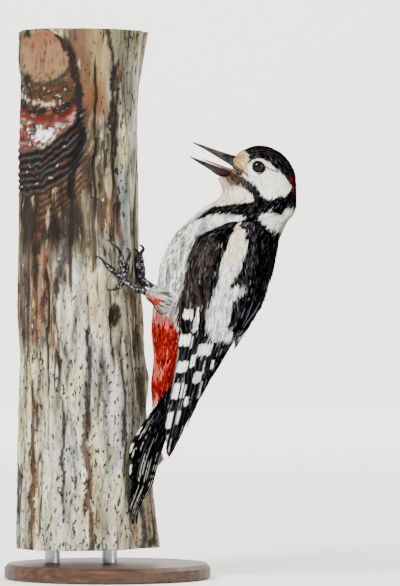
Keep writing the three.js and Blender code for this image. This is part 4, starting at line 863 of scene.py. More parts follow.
dim = add_node(barb_grain, "ShaderNodeMapRange", {
    "Value": hairs, "From Min": 0.3, "From Max": 0.7, "To Min": given.outputs["Depth"], "To Max": 1.08})
tone = mix_colours(barb_grain, 1.0, given.outputs["Tone"], dim.outputs["Result"], "MULTIPLY")
faded = ramp(barb_grain, pattern(barb_grain, 90, Detail=2), [(0.35, (0.9, 0.89, 0.87)), (0.65, 1)])
barb_grain.links.new(mix_colours(barb_grain, 1.0, tone, faded, "MULTIPLY"), result.inputs["Tone"])


def rough_by_tone(tree, tone, least, most):
    """Dark barbs are glossier than pale ones."""
    light = add_node(tree, "ShaderNodeRGBToBW", {"Color": tone}).outputs["Val"]
    return add_node(tree, "ShaderNodeMapRange", {
        "Value": light, "From Min": 0.0, "From Max": 0.25, "To Min": least, "To Max": most}).outputs["Result"]


barb_grain.links.new(rough_by_tone(barb_grain, given.outputs["Tone"], 0.46, 0.82), result.inputs["Roughness"])
barb_grain.links.new(hairs, result.inputs["Height"])


def feather_material(name, size, deep, strength):
    """A feather material: its colour from the piece's own plumage values, grained by barbs of one size."""
    material, tree, shader = new_material(name, 0.6, Specular_IOR_Level=0.0)
    barbs = add_node(tree, "ShaderNodeGroup", {
        "Size": size, "Depth": deep, "Tone": carried(tree, "plumage", "Color")}, node_tree=barb_grain).outputs
    dress(tree, shader, barbs["Tone"], barbs["Height"], strength)
    tree.links.new(barbs["Roughness"], shader.inputs["Roughness"])
    return material


coat_material = feather_material("body feathers", 1500, 0.72, 0.4)


def stretch(surface, t, angle):
    """Millimetres of surface for one step of t and for one degree."""
    along = np.linalg.norm(surface(t + 0.03, angle) - surface(t - 0.03, angle), axis=-1) / 0.06
    across = np.linalg.norm(surface(t, angle + 1) - surface(t, angle - 1), axis=-1) / 2
    return np.maximum(along, 0.7), across


def find_roots(surface, start, end, spacing, draw):
    """Staggered rows of roots over a surface, thinned where its rows crowd together."""
    t, rows = start, []
    ring = np.arange(0, 360, 5.0)
    while t < end:
        along, across = stretch(surface, np.full(len(ring), t), ring)
        gap = spacing(t)
        step = gap / np.percentile(along, 70)
        total = np.concatenate([[0], np.cumsum(across * 5)])
        count = max(int(total[-1] / gap), 4)
        at = (np.arange(count) + draw.uniform(0, 1) + draw.uniform(-0.3, 0.3, count)) / count * total[-1]
        angle = np.interp(at % total[-1], total, np.append(ring, 360))
        crowd = np.interp(angle, ring, along, period=360) * step / gap
        keep = draw.uniform(0, 1, count) < crowd * 1.1
        rows.append(np.stack([t + step * draw.uniform(-0.35, 0.35, count), angle], axis=1)[keep])
        t += step
    return np.vstack(rows)


def odd_strands(tone, draw, on_dark, on_pale, strength):
    """Barbs in which one here and there stands out: dark on pale feathers, greyish on black as painted highlights,
    deep or pink on red.
    """
    shape = tone.shape[:-1] + (1,)
    cool = draw.uniform(0, 1, shape) < 0.6
    pale_other = np.where(cool, colour(40, 44, 52), colour(66, 56, 44))
    highlight_on_dark = np.where(cool, colour(70, 74, 88), colour(84, 72, 62))
    red_other = np.where(cool, colour(38, 3, 4), colour(190, 92, 76))
    pale = tone.mean(axis=-1, keepdims=True) > 0.12
    red = tone[..., :1] > 3 * tone[..., 1:2]
    other = np.where(red, red_other, np.where(pale, pale_other, highlight_on_dark))
    share = np.where(pale & ~red, on_pale, on_dark)
    mix = (draw.uniform(0, 1, shape) < share) * strength * draw.uniform(0.2, 1, shape)
    return tone + (other - tone) * mix


def lay_feathers(name, surface, roots, size, barbs, draw, tone_at, way=-1, rise=0.12, loose=0.1, keep_off=None,
                 span=(-2.0, 19.0), width_share=0.5, swing=None, odd=(0.2, 0.2, 0.5), fringe=0.0):
    """One piece of coat: a fan of barbs at each root. size gives a feather's length; way is the sign of its lie."""
    count = len(roots)
    rise = np.broadcast_to(rise, count)[:, None, None]
    length = size(*roots.T) * draw.uniform(0.85, 1.15, count)
    wide = length * width_share
    shares = np.array([0, 0.4, 0.78, 1.0])
    t, angle = roots[:, 0].copy(), roots[:, 1].copy()
    turn = draw.normal(0, 0.12, count) + (swing(t, angle) if swing else 0)
    path = [(t, angle, stretch(surface, t, angle)[1])]
    for k in range(3):
        along, across = stretch(surface, t, angle)
        step = length * (shares[k + 1] - shares[k])
        t = t + way * step * np.cos(turn) / along
        angle = angle + step * np.sin(turn) / across
        path.append((t, angle, across))
    t_path, angle_path, across_path = (np.stack([p[k] for p in path], axis=1) for k in range(3))

    fan = np.linspace(-1, 1, barbs) if barbs > 1 else np.zeros(1)
    fan = fan + draw.normal(0, 0.6 / barbs, (count, barbs))
    reach = 1 - 0.28 * fan ** 2 + draw.normal(0, 0.07, (count, barbs))
    lift = draw.normal(0, loose, (count, barbs)) * 0.5
    spot_row = np.array([0, 0, 1, 1, 2, 2, 3])
    spot_side = np.array([-1, 1, -1, 1, -1, 1, 0])
    thin = np.array([0.75, 1, 0.7, 0])[spot_row] * spot_side
    barb_wide = (wide / barbs * 1.25)[:, None, None]

    def place_barbs(reach):
        s = np.clip(shares[spot_row] * reach[..., None], 0, 1)
        pick = np.clip(np.searchsorted(shares, s, side="right") - 1, 0, 2)
        part = (s - shares[pick]) / (shares[pick + 1] - shares[pick])
        row = np.arange(count)[:, None, None]
        read = lambda values: values[row, pick] * (1 - part) + values[row, pick + 1] * part
        sideways = fan[..., None] * wide[:, None, None] * (0.22 + 0.3 * s) + thin * barb_wide / 2
        at_t = read(t_path)
        at_angle = read(angle_path) + sideways / np.maximum(read(across_path), 0.05)
        out = -0.95 * COAT_DEEP + (rise + COAT_DEEP * 0.95) * s ** 0.6 + lift[..., None] * s + 0.06 * spot_side
        return at_t, at_angle, surface(at_t, at_angle, out)

    at_t, at_angle, points = place_barbs(reach)
    good = np.isfinite(points).all(axis=(2, 3))
    if keep_off is not None:
        reach = np.where(keep_off(points.reshape(-1, 3)).reshape(points.shape[:3]).any(axis=2), reach * 0.5, reach)
        at_t, at_angle, points = place_barbs(reach)
        good &= ~keep_off(points.reshape(-1, 3)).reshape(points.shape[:3]).any(axis=2)

    tone = tone_at(at_t[..., 4], at_angle[..., 4]).reshape(count, barbs, 1, 3)
    tone = tone * draw.normal(1, 0.07, (count, barbs, 1, 1)).clip(0.75, 1.2)
    tone = odd_strands(tone, draw, *odd)
    tone = tone * np.array([0.62, 0.62, 0.9, 0.9, 1, 1, 1.04])[:, None]
    if fringe:
        worn = np.array([0, 0, 0, 0, 0.4, 0.4, 1])[:, None] * fringe * draw.uniform(0, 1, (count, 1, 1, 1)) ** 2
        tone = tone + (colour(158, 150, 144) - tone) * worn
    root_uv = np.stack([(roots[:, 1] % 360) / 360, (roots[:, 0] - span[0]) / (span[1] - span[0])], axis=1)
    root_uv = 0.01 + 0.98 * np.clip(root_uv, 0, 1)
    patch = np.stack([0.0015 * (fan[..., None] + spot_side / barbs) / 1.6,
                      np.broadcast_to((shares[spot_row] - 0.5) * 0.003, points.shape[:3])], axis=-1)
    uv = root_uv[:, None, None] + patch

    points, tone, uv = points[good], tone[good], uv[good]
    first = np.arange(len(points))[:, None, None] * 7
    faces = np.array([[0, 1, 3], [0, 3, 2], [2, 3, 5], [2, 5, 4], [4, 5, 6]])
    if way > 0:
        faces = faces[:, ::-1]
    faces = (first + faces).reshape(-1, 3)
    piece = new_mesh(name, points.reshape(-1, 3), faces, coat_material)
    give_values(piece, "plumage", tone.reshape(-1, 3))
    give_map(piece, "OFBake", uv.reshape(-1, 2))
    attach(piece, "root")
    return piece


LID_RADIUS = 3.0


def off_eyes_and_mouth(points):
    """True for points over an eye's opening, or where the bill is bare."""
    turn = np.radians(-BIRD_TURN - HEAD_TURN)
    off_x, off_y = (points - in_head(HEAD_PIVOT, 0.0, 0.0))[:, :2].T
    x = off_x * np.cos(turn) - off_y * np.sin(turn) + HEAD_PIVOT
    on_lid = np.hypot(x - EYE_X, points[:, 2] - EYE_Z) < LID_RADIUS
    return on_lid | (depth_inside(np.stack([x, points[:, 2]], axis=1), BARE_BILL) > 0.15)


# The wing's upper and lower edge as angles, against the wing's own rows, which run 3 ahead of the body's.
WING_UPPER = pairs(
    0, -7, 1, -6, 2, -2, 3, 3, 4, 5, 5, 7, 6, 12, 7, 19, 8, 27, 9, 34, 10, 41, 10.9, 52)
WING_LOWER = pairs(
    0, 46, 1, 55, 2, 62, 3, 67, 4, 71, 5, 75, 6, 82, 7, 90, 8, 97, 9, 99, 10, 102, 10.9, 84)


def under_wing(t, angle):
    """True for places on the body that a folded wing hides."""
    side = np.abs(turn_between(angle, 0))
    return (t < 7.6) & (t > -0.5) & (side > table(WING_UPPER, t + 3) + 9) & (side < table(WING_LOWER, t + 3) - 9)


def body_size(t, angle):
    on_face = np.interp(t, [8, 9.5, 11, 13, 16, 18.9], [8.0, 6.4, 5.0, 4.2, 3.4, 2.0])
    on_face = on_face + 2.5 * bump(t - 10.2, 0.7) * bump(turn_between(angle, 0), 35)
    return np.where(t > 8, on_face, np.interp(t, [-2, 1, 4], [11.0, 9.5, 8.0]))


def body_rise(t, angle):
    """How far the tips stand off: the crown and the hind collar are a little raised."""
    over = bump(turn_between(angle, 0), 42)
    return 0.12 + 0.7 * over * ease(t, 11.6, 13) * fade(t, 16.6, 17.6) + 1.7 * over * bump(t - 10.2, 0.6)


draw = np.random.default_rng(11)
spacing = lambda t: float(np.interp(t, [-2, 4, 8, 10, 12, 17, 19], [1.5, 1.5, 1.35, 1.05, 0.8, 0.62, 0.55]))
roots = find_roots(on_body, -1.9, 18.95, spacing, draw)
roots = roots[~under_wing(*roots.T)]
at, side = roots[:, 0], np.abs(turn_between(roots[:, 1], 0))
FACE_FROM, HEAD_FROM, NECK_FROM, BACK_HALF = 13.4, 10.6, 7.9, 60  # rows and degrees at which one piece meets the next
for name, chosen, barbs, odd in (
    ("coat_face", at > FACE_FROM, 3, (0.16, 0.06, 0.8)),
    ("coat_head", (at <= FACE_FROM) & (at > HEAD_FROM), 4, (0.16, 0.08, 0.8)),
    ("coat_neck", (at <= HEAD_FROM) & (at > NECK_FROM), 5, (0.14, 0.16, 0.8)),
    ("coat_back", (at <= NECK_FROM) & (side < BACK_HALF), 6, (0.12, 0.16, 0.7)),
    ("coat_front", (at <= NECK_FROM) & (side >= BACK_HALF), 6, (0.2, 0.2, 0.9)),
):
    rise = body_rise(*roots[chosen].T)
    lay_feathers(name, on_body, roots[chosen], body_size, barbs, draw, plumage, rise=rise,
                 loose=0.1 + 0.35 * (rise[:, None] - 0.12), keep_off=off_eyes_and_mouth, odd=odd)


THIGH_PATCH = pairs(
    21, 148, 28.8, 147.4, 28.2, 144, 26, 141.4, 22, 141, 19, 145)


def thigh_tone(t, angle):
    red = depth_inside(on_thigh(-1)(t.ravel(), angle.ravel())[:, [0, 2]], THIGH_PATCH)
    t = t.ravel()
    mark = grain(spots(t * 1.4, angle.ravel() / 2.4), 53)
    rgb, lay = canvas(len(t), (198, 199, 196))
    lay(0.92 * ease(mark, 0.02, 0.24), (22, 24, 28))
    lay(0.55 * ease(t, 3.6, 5), (150, 142, 130))
    lay(0.9 * ease(red + 1.6 * mark, -0.5, 0.7), (176, 44, 16))
    return rgb


SIDES = (("left", -1), ("right", 1))
for side_name, sign in SIDES:
    thigh = on_thigh(sign)
    thigh_roots = find_roots(thigh, 0.3, 4.75, lambda t: 0.8, draw)
    lay_feathers("coat_thigh_" + side_name, thigh, thigh_roots,
                 lambda t, angle: np.interp(t, [0, 3, 4.9], [6.4, 5.0, 2.6]), 7, draw, thigh_tone, way=1, span=(0, 5),
                 odd=(0.2, 0.4, 1.0))

# ---------------------------------------------------------------- the folded wings
# Each wing is a bed of flesh and down against the body's side, the flight feathers fanned under one another
# from the back down, then the greater and median coverts, the tertials, scale-like lesser coverts over the arm,
# and the soft white scapulars that lie from the shoulder over its upper part.
WING_LINE = np.vstack([np.array([
    [53.5, 64, 41, 62, 7.5, 0], [59.5, 77, 43, 75, 9.5, 0], [65.5, 90, 44, 84, 11.3, 0], [72.5, 102, 44.5, 94, 13, 0],
    [78.3, 110.5, 44.5, 104, 14.6, 0], [84.6, 120.5, 45.3, 116.5, 16.3, 0]]), BODY_LINE[5:12]])
FLIGHT_TIPS = pairs(  # share up the wing, and the row that a flight feather's tip reaches
    0, 1.1, 0.083, 0.45, 0.167, 0.05, 0.25, 0, 0.333, 0.6, 0.417, 1.25, 0.5, 1.85, 0.583, 2.45, 0.667, 2.95,
    0.75, 3.4, 0.833, 3.9, 0.917, 4.4, 1, 4.9)
ARM_THICK = pairs(  # row, and the arm's thickness
    6.0, -0.6, 6.6, 0.2, 7.3, 1.8, 8.0, 3.0, 8.6, 3.4, 9.6, 3.1, 10.3, 2.2, 10.9, 0.6, 11.3, -1.2)
COVER_THICK = pairs(  # row, and how high the coverts lie
    5.2, 2.9, 6.2, 3.3, 7.4, 3.8, 8.6, 4.2, 9.6, 3.9, 10.3, 3.0, 10.9, 1.4, 11.3, -0.4)
WING_LIE = 0.45  # from the body's surface to the wing's inner face
SCAPULAR = pairs(
    67.9, 184.8, 66.4, 182.6, 64.4, 179.6, 63.2, 176.1, 61.7, 172.1, 59.7, 168, 58.1, 163.9, 58.1, 158.8, 57.6, 155.2,
    56.6, 153.2, 58.6, 152.4, 62.7, 152.7, 64.8, 155.2, 67.3, 158.8, 68.8, 162.9, 70.9, 167.5, 72.2, 171.6,
    71.6, 175.6, 70.2, 180, 68.8, 183.6)
TERTIAL_PATCH = pairs(
    55.6, 151.7, 59.7, 152.7, 65.3, 152.2, 68.8, 151.2, 71.9, 150.1, 70.4, 148.1, 67.8, 147.1, 64.8, 144, 63.8, 139.4,
    63.2, 135.3, 61.7, 131.3, 63.8, 129.2, 64.8, 126.7, 63.2, 124.1, 58.6, 124.6, 54.6, 125.1, 52.5, 127.7,
    51.5, 131.8, 51.5, 136.4, 52.5, 140.9, 54.6, 145.5, 56.1, 149.1)
LEADING_EDGE = pairs(  # height, and x of the wing's front edge
    75, 16, 100, 26, 125, 34, 143, 40.3, 151, 40.3, 159, 41.3, 164, 42.3, 169, 43.4, 174, 43.9, 178, 45.9, 181, 48.5,
    184, 51, 186, 55.6, 188, 63.8, 189, 68.8)
# The white blocks on the flight feathers: x and z of the middle, half width and half height, and how white.
SPOTS = [
    (42.4, 138.8, 2.6, 2.6, 1), (46.0, 132.8, 1.2, 3.2, 1), (40.8, 125.3, 2.8, 2.9, 1), (50.9, 120.4, 3.5, 2.9, 1),
    (45.0, 114.9, 1.2, 3.4, 0.9), (39.5, 111.6, 2.6, 2.9, 1), (47.0, 106.1, 1.9, 3.1, 0.8),
    (54.8, 112.6, 0.7, 2.3, 0.8), (36.3, 99.0, 1.6, 4.2, 1), (39.2, 99.2, 0.45, 3.6, 0.95),
    (40.5, 98.4, 0.4, 3.4, 0.9), (41.5, 93.7, 1.1, 2.4, 0.85), (32.9, 83.9, 1.5, 4.2, 0.9),
    (37.2, 85.3, 0.9, 3.6, 0.85), (51.4, 131.6, 0.4, 3.4, 0.55), (48.6, 99.0, 0.3, 5.0, 0.5),
    (50.4, 111.4, 0.3, 3.6, 0.5), (31.3, 72.6, 0.4, 4.2, 0.6), (32.9, 71.0, 0.35, 3.6, 0.5),
    (44.4, 124.4, 0.35, 3.4, 0.6)]
SPOT_LEAN = 0.22


def wing_angle(share, t):
    low, high = table(WING_LOWER, t), table(WING_UPPER, t)
    return np.maximum(low + (high - low) * share, np.interp(t, [1.5, 3.5], [-8, 2.5]))


def on_wing(share, t, out=0.0):
    return on_guide(WING_LINE, t, wing_angle(share, t), WING_LIE + out)


def arm_height(share, t):
    edge = ease(np.minimum(share, 1 - share), -0.07, 0.2)
    return -WING_LIE - 0.9 + (WING_LIE + 0.9 + table(ARM_THICK, t)) * edge


def other_side(points):
    """Points mirrored across the bird's mid-plane."""
    origin = to_world(0.0, 0.0, 0.0)
    across = to_world(0.0, 1.0, 0.0) - origin
    return points - 2 * ((points - origin) @ across)[:, None] * across


def wing_tone(points, threads, tip_near):
    """Colours over the left wing; threads is the place that its fine lines are read at, and follows the feathers."""
    flat = points[:, [0, 2]]
    x, z = flat.T
    rag = 0.5 * grain(points * [0.8, 0.8, 0.35], 61)
    streak = grain(threads * [1.3, 1.3, 0.14], 67)
    mottle = grain(points * [0.5, 0.5, 0.25], 71)
    front = x - table(LEADING_EDGE, z)
    rgb, lay = canvas(len(points), (4, 4, 6))
    # Painted sheen: blue-black mottling over the black feathers.
    lay(0.5 * ease(mottle, 0.1, 0.7), SHEEN_BLUE_BLACK)
    umber = fade(front, 7, 17) * ease(z, 132, 150) * fade(z, 168, 182)
    lay(0.8 * umber * ease(mottle + 0.35, -0.2, 0.5), (42, 31, 26))
    lay(0.5 * umber * ease(streak, 0.25, 0.6), (72, 62, 54))
    # Painted highlights: blue-grey streaks and thin grey lines along the black feathers.
    lay(0.35 * (1 - umber) * ease(streak, 0.35, 0.7), (60, 65, 76))
    thin = grain(threads * [2.6, 2.6, 0.07], 69)
    lay(0.6 * ease(thin, 0.54, 0.66), (140, 140, 140))
    for spot_x, spot_z, half_wide, half_tall, white in SPOTS:
        across = (x - spot_x - SPOT_LEAN * (z - spot_z) + 0.25 * rag) / half_wide
        along = (z - spot_z + 0.9 * streak) / half_tall
        spot = (across ** 8 + along ** 8) ** 0.125
        lay(white * fade(spot, 0.86, 1.06), (242, 241, 236))
    lay(tip_near * 0.3, (80, 72, 62))
    patch = ease(depth_inside(flat, TERTIAL_PATCH) + rag, -0.6, 0.6)
    lay(patch, (238, 238, 234))
    lay(patch * 0.8 * ease(streak, 0.0, 0.4), (138, 140, 142))
    patch = ease(depth_inside(flat, SCAPULAR) + rag, -0.4, 0.6)
    lay(patch, (240, 239, 233))
    lay(patch * ease(z, 157, 172) * fade(x, 67, 73), (234, 220, 176))
    return rgb


vane_material, tree, shader = new_material("flight feathers", 0.5, Specular_IOR_Level=0.0)
across = add_node(tree, "ShaderNodeUVMap", uv_map="Vane").outputs["UV"]
split = add_node(tree, "ShaderNodeSeparateXYZ", {"Vector": across}).outputs
side_on = math(tree, "ABSOLUTE", split["X"])
raked = math(tree, "MULTIPLY_ADD", side_on, 1.3, split["Y"])
barb_line = add_node(tree, "ShaderNodeCombineXYZ", {"X": raked, "Y": split["X"]}).outputs["Vector"]
barb_line = add_node(tree, "ShaderNodeMapping", {"Vector": barb_line, "Scale": (5.5, 0.25, 1)}).outputs["Vector"]
barbs = add_node(tree, "ShaderNodeTexNoise", {"Vector": barb_line, "Scale": 1.0, "Detail": 2}).outputs["Fac"]
lined = ramp(tree, barbs, [(0.35, (0.72, 0.72, 0.74)), (0.62, 1.08)])
tone = mix_colours(tree, 1.0, carried(tree, "plumage", "Color"), lined, "MULTIPLY")
on_shaft = add_node(tree, "ShaderNodeMapRange", {
    "Value": side_on, "From Min": 0.12, "From Max": 0.24, "To Min": 0.85, "To Max": 0.0}).outputs["Result"]
tone = mix_colours(tree, on_shaft, tone, colour(8, 7, 7))
dress(tree, shader, tone, barbs, 0.5, 0.00015)
tree.links.new(rough_by_tone(tree, tone, 0.4, 0.75), shader.inputs["Roughness"])

FLIGHT_ROWS, VANE_ROWS, VANE_COLS = 130, 50, 15
FLIGHTS = 14
SHAFT_AT = -0.22  # across a vane from its outer edge at -1 to its inner edge at 1


def distances(line):
    """How far along a line of points each of them lies."""
    return np.concatenate([[0], np.cumsum(np.linalg.norm(np.diff(line, axis=0), axis=1))])


def wing_vane(share, root, tip, half, low, rise, taper, lane, rows):
    """One vane in rows from its root to its tip: its points, the distances across and along it, its place from edge to
    edge, and how near the tip it is."""
    v, u = np.meshgrid(np.linspace(0, 1, rows) ** 0.9, np.linspace(-1, 1, VANE_COLS), indexing="ij")
    t = root + (tip - root) * v
    middle = lane(share, t)
    line = on_wing(middle[:, 0], t[:, 0], low)
    far = distances(line)
    left = (far[-1] - far) / (taper * half)
    wide = half * np.sqrt(np.clip(1 - np.clip(1 - left, 0, 1) ** 2, 0, 1)) * np.minimum(1, 0.7 + v[:, 0])
    ragged = 1 + 0.05 * grain(spots(far * 0.9, share * 40), 73)
    step = 0.02
    per_share = np.linalg.norm(on_wing(middle + step, t, low) - on_wing(middle - step, t, low), axis=-1) / (2 * step)
    across = u * (wide * ragged)[:, None]
    at = middle + across / np.maximum(per_share, 4)
    slope = (1 - u) / 2
    shaft = np.exp(-(((u - SHAFT_AT) / 0.09) ** 2))
    ripple = grain(spots(far[:, None] * 0.3, u * 1.2, share * 30), 79)
    out = low + rise * slope + 0.25 * (1 - u ** 2) + 0.12 * shaft + 0.05 * ripple - 0.5 * ease(v, 0.9, 1) * rise
    points = on_wing(at, t, out)
    tip_near = ease(1 - left, 0.55, 0.9)[:, None] + u * 0
    return points, across - SHAFT_AT * wide[:, None], far[:, None] + u * 0, u, tip_near


def vane_set(name, vanes, mirrored, material):
    """Vanes joined in one piece, each with its own cell of the OFBake map."""
    cells = int(np.ceil(np.sqrt(len(vanes))))
    points, tone, cell_uv, vane_uv, faces = [], [], [], [], []
    for k, (place, across, far, u, tones) in enumerate(vanes):
        rows, cols = u.shape
        faces.append(sheet_faces(rows, cols) + sum(len(p) for p in points))
        points.append(place.reshape(-1, 3))
        tone.append(tones)
        s = spots((u + 1) / 2, np.linspace(0, 1, rows)[:, None])[..., :2].reshape(-1, 2)
        cell_uv.append((np.array([k % cells, k // cells]) + 0.04 + 0.92 * s) / cells)
        vane_uv.append(np.stack([across, far], axis=-1).reshape(-1, 2))
    points, faces = np.vstack(points), np.vstack(faces)
    if mirrored:
        points = other_side(points)
    else:
        faces = faces[:, ::-1]
    piece = new_mesh(name, points, faces, material)
    give_values(piece, "plumage", np.vstack(tone))
    give_map(piece, "OFBake", np.vstack(cell_uv))
    give_map(piece, "Vane", np.vstack(vane_uv))
    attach(piece, "root")
    return piece


def wing_feathers(draw, under):
    """The flight feathers, greater coverts and tertials of a wing laid out on the left, each with its colours. The tip
    of the wing that lies under the other's is flatter and doesn't spread up over the back."""
    widen = 0.1 if under else 0.95
    flat_lane = lambda share, t: share + t * 0
    spread = lambda share, t: share * (1 + widen * fade(t, 1.6, 4.8))
    plans = []
    for share in np.linspace(0, 1, FLIGHTS):
        plans.append((share, 7.2, table(FLIGHT_TIPS, share) + 1.2 * under, 3.4 if share > 0.3 else 3.1,
                      0.05 if under else 0.5, 0.6 if under else 1.45, 3.4 if share < 0.45 else 1.7, spread))
    for k, share in enumerate(np.linspace(0.03, 0.88, 12)):
        plans.append((share, 7.7, 5.9 + 0.012 * k + draw.uniform(-0.05, 0.05), 2.5, 2.1, 0.8, 1.3, flat_lane))
    for k, share in enumerate(np.linspace(0.74, 1.03, 5)):
        plans.append((share, 7.7, 5.2 + 0.1 * k, 3.3, 2.5 - 0.1 * k, 0.8, 1.5, flat_lane))
    vanes = []
    for n, (share, root, tip, half, low, rise, taper, lane) in enumerate(plans):
        flight = n < FLIGHTS
        place, across, far, u, tip_near = wing_vane(
            share, root, tip, half, low, rise, taper, lane, FLIGHT_ROWS if flight else VANE_ROWS)
        threads = spots(across, 9 * n, far).reshape(-1, 3)
        tones = wing_tone(place.reshape(-1, 3), threads, tip_near.ravel() * flight * (share < 0.45))
        tones = tones * draw.uniform(0.86, 1.1)
        rim = ease(np.abs(u.ravel()), 0.8, 1)[:, None]
        dark = tones.mean(axis=1)[:, None] < 0.1
        tones = np.where(dark, tones + (colour(120, 114, 108) - tones) * 0.12 * rim, tones * (1 - 0.75 * rim))
        vanes.append((place, across, far, u, tones))
    return vanes


def on_arm(t, hundredths, out=0.0):
    """The surface of the coverts, with the place up the wing in hundredths."""
    share = hundredths / 100
    edge = ease(np.minimum(share, 1 - share), -0.1, 0.2)
    low = np.where(t < 7.5, 1.6, -WING_LIE - 0.2)
    return on_wing(share, t, low + (table(COVER_THICK, t) - low) * edge + out)


def arm_tone(t, hundredths):
    points = on_arm(t.ravel(), hundredths.ravel())
    threads = points - points[:, 2:] * [0.3, 0, 0]
    return wing_tone(points, threads, np.zeros(len(points)))


def mirror_piece(piece):
    """Turns a finished piece of the left side into its mirror image on the right."""
    mesh = piece.data
    co = np.empty(len(mesh.vertices) * 3, np.float32)
    mesh.vertices.foreach_get("co", co)
    mesh.vertices.foreach_set("co", (other_side(co.reshape(-1, 3) * 1000) * 0.001).astype(np.float32).ravel())
    mesh.flip_normals()
    mesh.update()


COVERT_COUNT = pairs(  # row, and how many coverts lie side by side in it
    6.7, 15, 8, 18, 9.5, 26, 11.2, 30)
COVERT_STEP = pairs(  # row, and the step to the next
    6.7, 0.36, 8, 0.3, 9.5, 0.2, 11.2, 0.14)
BED_ROWS, BED_COLS = 50, 40
TRIES, ROOT_ALONG, ROOT_UP = 9000, 0.16, 4.2  # scapular roots: how many are tried, and how far apart they have to lie
bed_material = feather_material("wing down", 900, 0.7, 0.3)
for side_name, mirrored in (("left", False), ("right", True)):
    draw = np.random.default_rng(29)
    t, share = np.meshgrid(np.linspace(6.0, 11.3, BED_ROWS), np.linspace(-0.07, 1.07, BED_COLS), indexing="ij")
    points = on_wing(share, t, arm_height(share, t)).reshape(-1, 3)
    faces = sheet_faces(BED_ROWS, BED_COLS)
    bed = new_mesh("wing_bed_" + side_name, other_side(points) if mirrored else points,
                   faces if mirrored else faces[:, ::-1], bed_material)
    give_values(bed, "plumage", canvas(len(points), BLACK)[0])
    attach(bed, "root")
    vanes = vane_set("wing_vanes_" + side_name, wing_feathers(draw, mirrored), mirrored, vane_material)
    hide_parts("wing_" + side_name)

    rows, t = [], 6.75
    while t < 11.25:
        count = int(table(COVERT_COUNT, t))
        shares = np.linspace(-0.05, 1.06, count) + 0.5 * 1.1 / count * (len(rows) % 2)
        rows.append(np.stack([t + draw.uniform(-0.04, 0.04, count),
                              100 * (shares + draw.uniform(-0.01, 0.01, count))], axis=1))
        t += table(COVERT_STEP, t)
    coverts = lay_feathers("wing_coverts_" + side_name, on_arm, np.vstack(rows),
                           lambda t, a: np.interp(t, [6.7, 8, 9.5, 11.2], [10.5, 8.2, 5.8, 3.8]), 8, draw, arm_tone,
                           rise=0.3, loose=0.1, width_share=0.56, span=(6, 11.5), odd=(0.13, 0.25, 0.8), fringe=0.2)
    cloud = np.stack([draw.uniform(5.6, 10.9, TRIES), draw.uniform(25, 125, TRIES)], axis=1)
    seen = on_arm(*cloud.T)[:, [0, 2]] - [0.9, 4.5]
    white = np.maximum(depth_inside(seen, SCAPULAR), depth_inside(seen, TERTIAL_PATCH))
    chosen = []
    for place in cloud[white > -1.4]:
        if all(abs(place[0] - c[0]) > ROOT_ALONG or abs(place[1] - c[1]) > ROOT_UP for c in chosen):
            chosen.append(place)
    scapulars = lay_feathers("scapulars_" + side_name, on_arm, np.array(chosen), lambda t, a: 9.0 + 0 * t, 8, draw,
                             arm_tone, rise=1.0, loose=0.2, width_share=0.46, span=(5, 11.5), odd=(0.12, 0.22, 0.8))
    if mirrored:
        mirror_piece(coverts)
        mirror_piece(scapulars)

# ---------------------------------------------------------------- the tail
# Five pairs of stiff pointed feathers that prop the bird on the bark: the middle pair longest and uppermost, the
# outer ones shorter, tucked under them and barred white. Their shafts are thick, glossy and bent to the trunk.
TAIL_LINE = pairs(
    54.6, 96, 50, 89, 46.2, 82, 40.8, 69.6, 36.8, 56.8, 33.6, 44, 31.9, 29.3)
# Each pair's tip as a share of the tail's length, its middle out to the side, and its width.
TAIL_PAIRS = [(1.0, 3.2, 6.0), (0.93, 5.4, 6.4), (0.81, 7.6, 6.4), (0.67, 9.6, 6.0), (0.53, 11.0, 5.4)]
TAIL_SPREAD = pairs(  # share of the tail's length, and how far the pairs spread there
    0, 0.42, 0.2, 0.68, 0.4, 0.95, 0.55, 1, 0.75, 0.86, 1, 0.6)
TAIL_OUTLINE = pairs(  # share of a feather's length, and its width there
    0, 0.8, 0.3, 1, 0.7, 0.98, 0.82, 0.86, 0.92, 0.55, 1, 0.06)
TAIL_STEP = 0.72  # from one pair down to the next
TAIL_ROWS, TAIL_COLS, TAIL_ROOT = 60, 13, 0.04
fine_line = read_curve(TAIL_LINE, np.linspace(0, 6, 600))
tail_far = distances(fine_line)


def on_tail(s, side, above):
    """A point of the tail at a share of its length, sideways, and above its middle line."""
    read = lambda s: np.stack([np.interp(s * tail_far[-1], tail_far, fine_line[:, k]) for k in range(2)], axis=-1)
    here, ahead = read(s), unit(read(np.minimum(s + 0.01, 1)) - read(np.maximum(s - 0.01, 0)))
    roof = above - 0.012 * side ** 2
    return to_world(here[..., 0] - ahead[..., 1] * roof, side, here[..., 1] + ahead[..., 0] * roof)


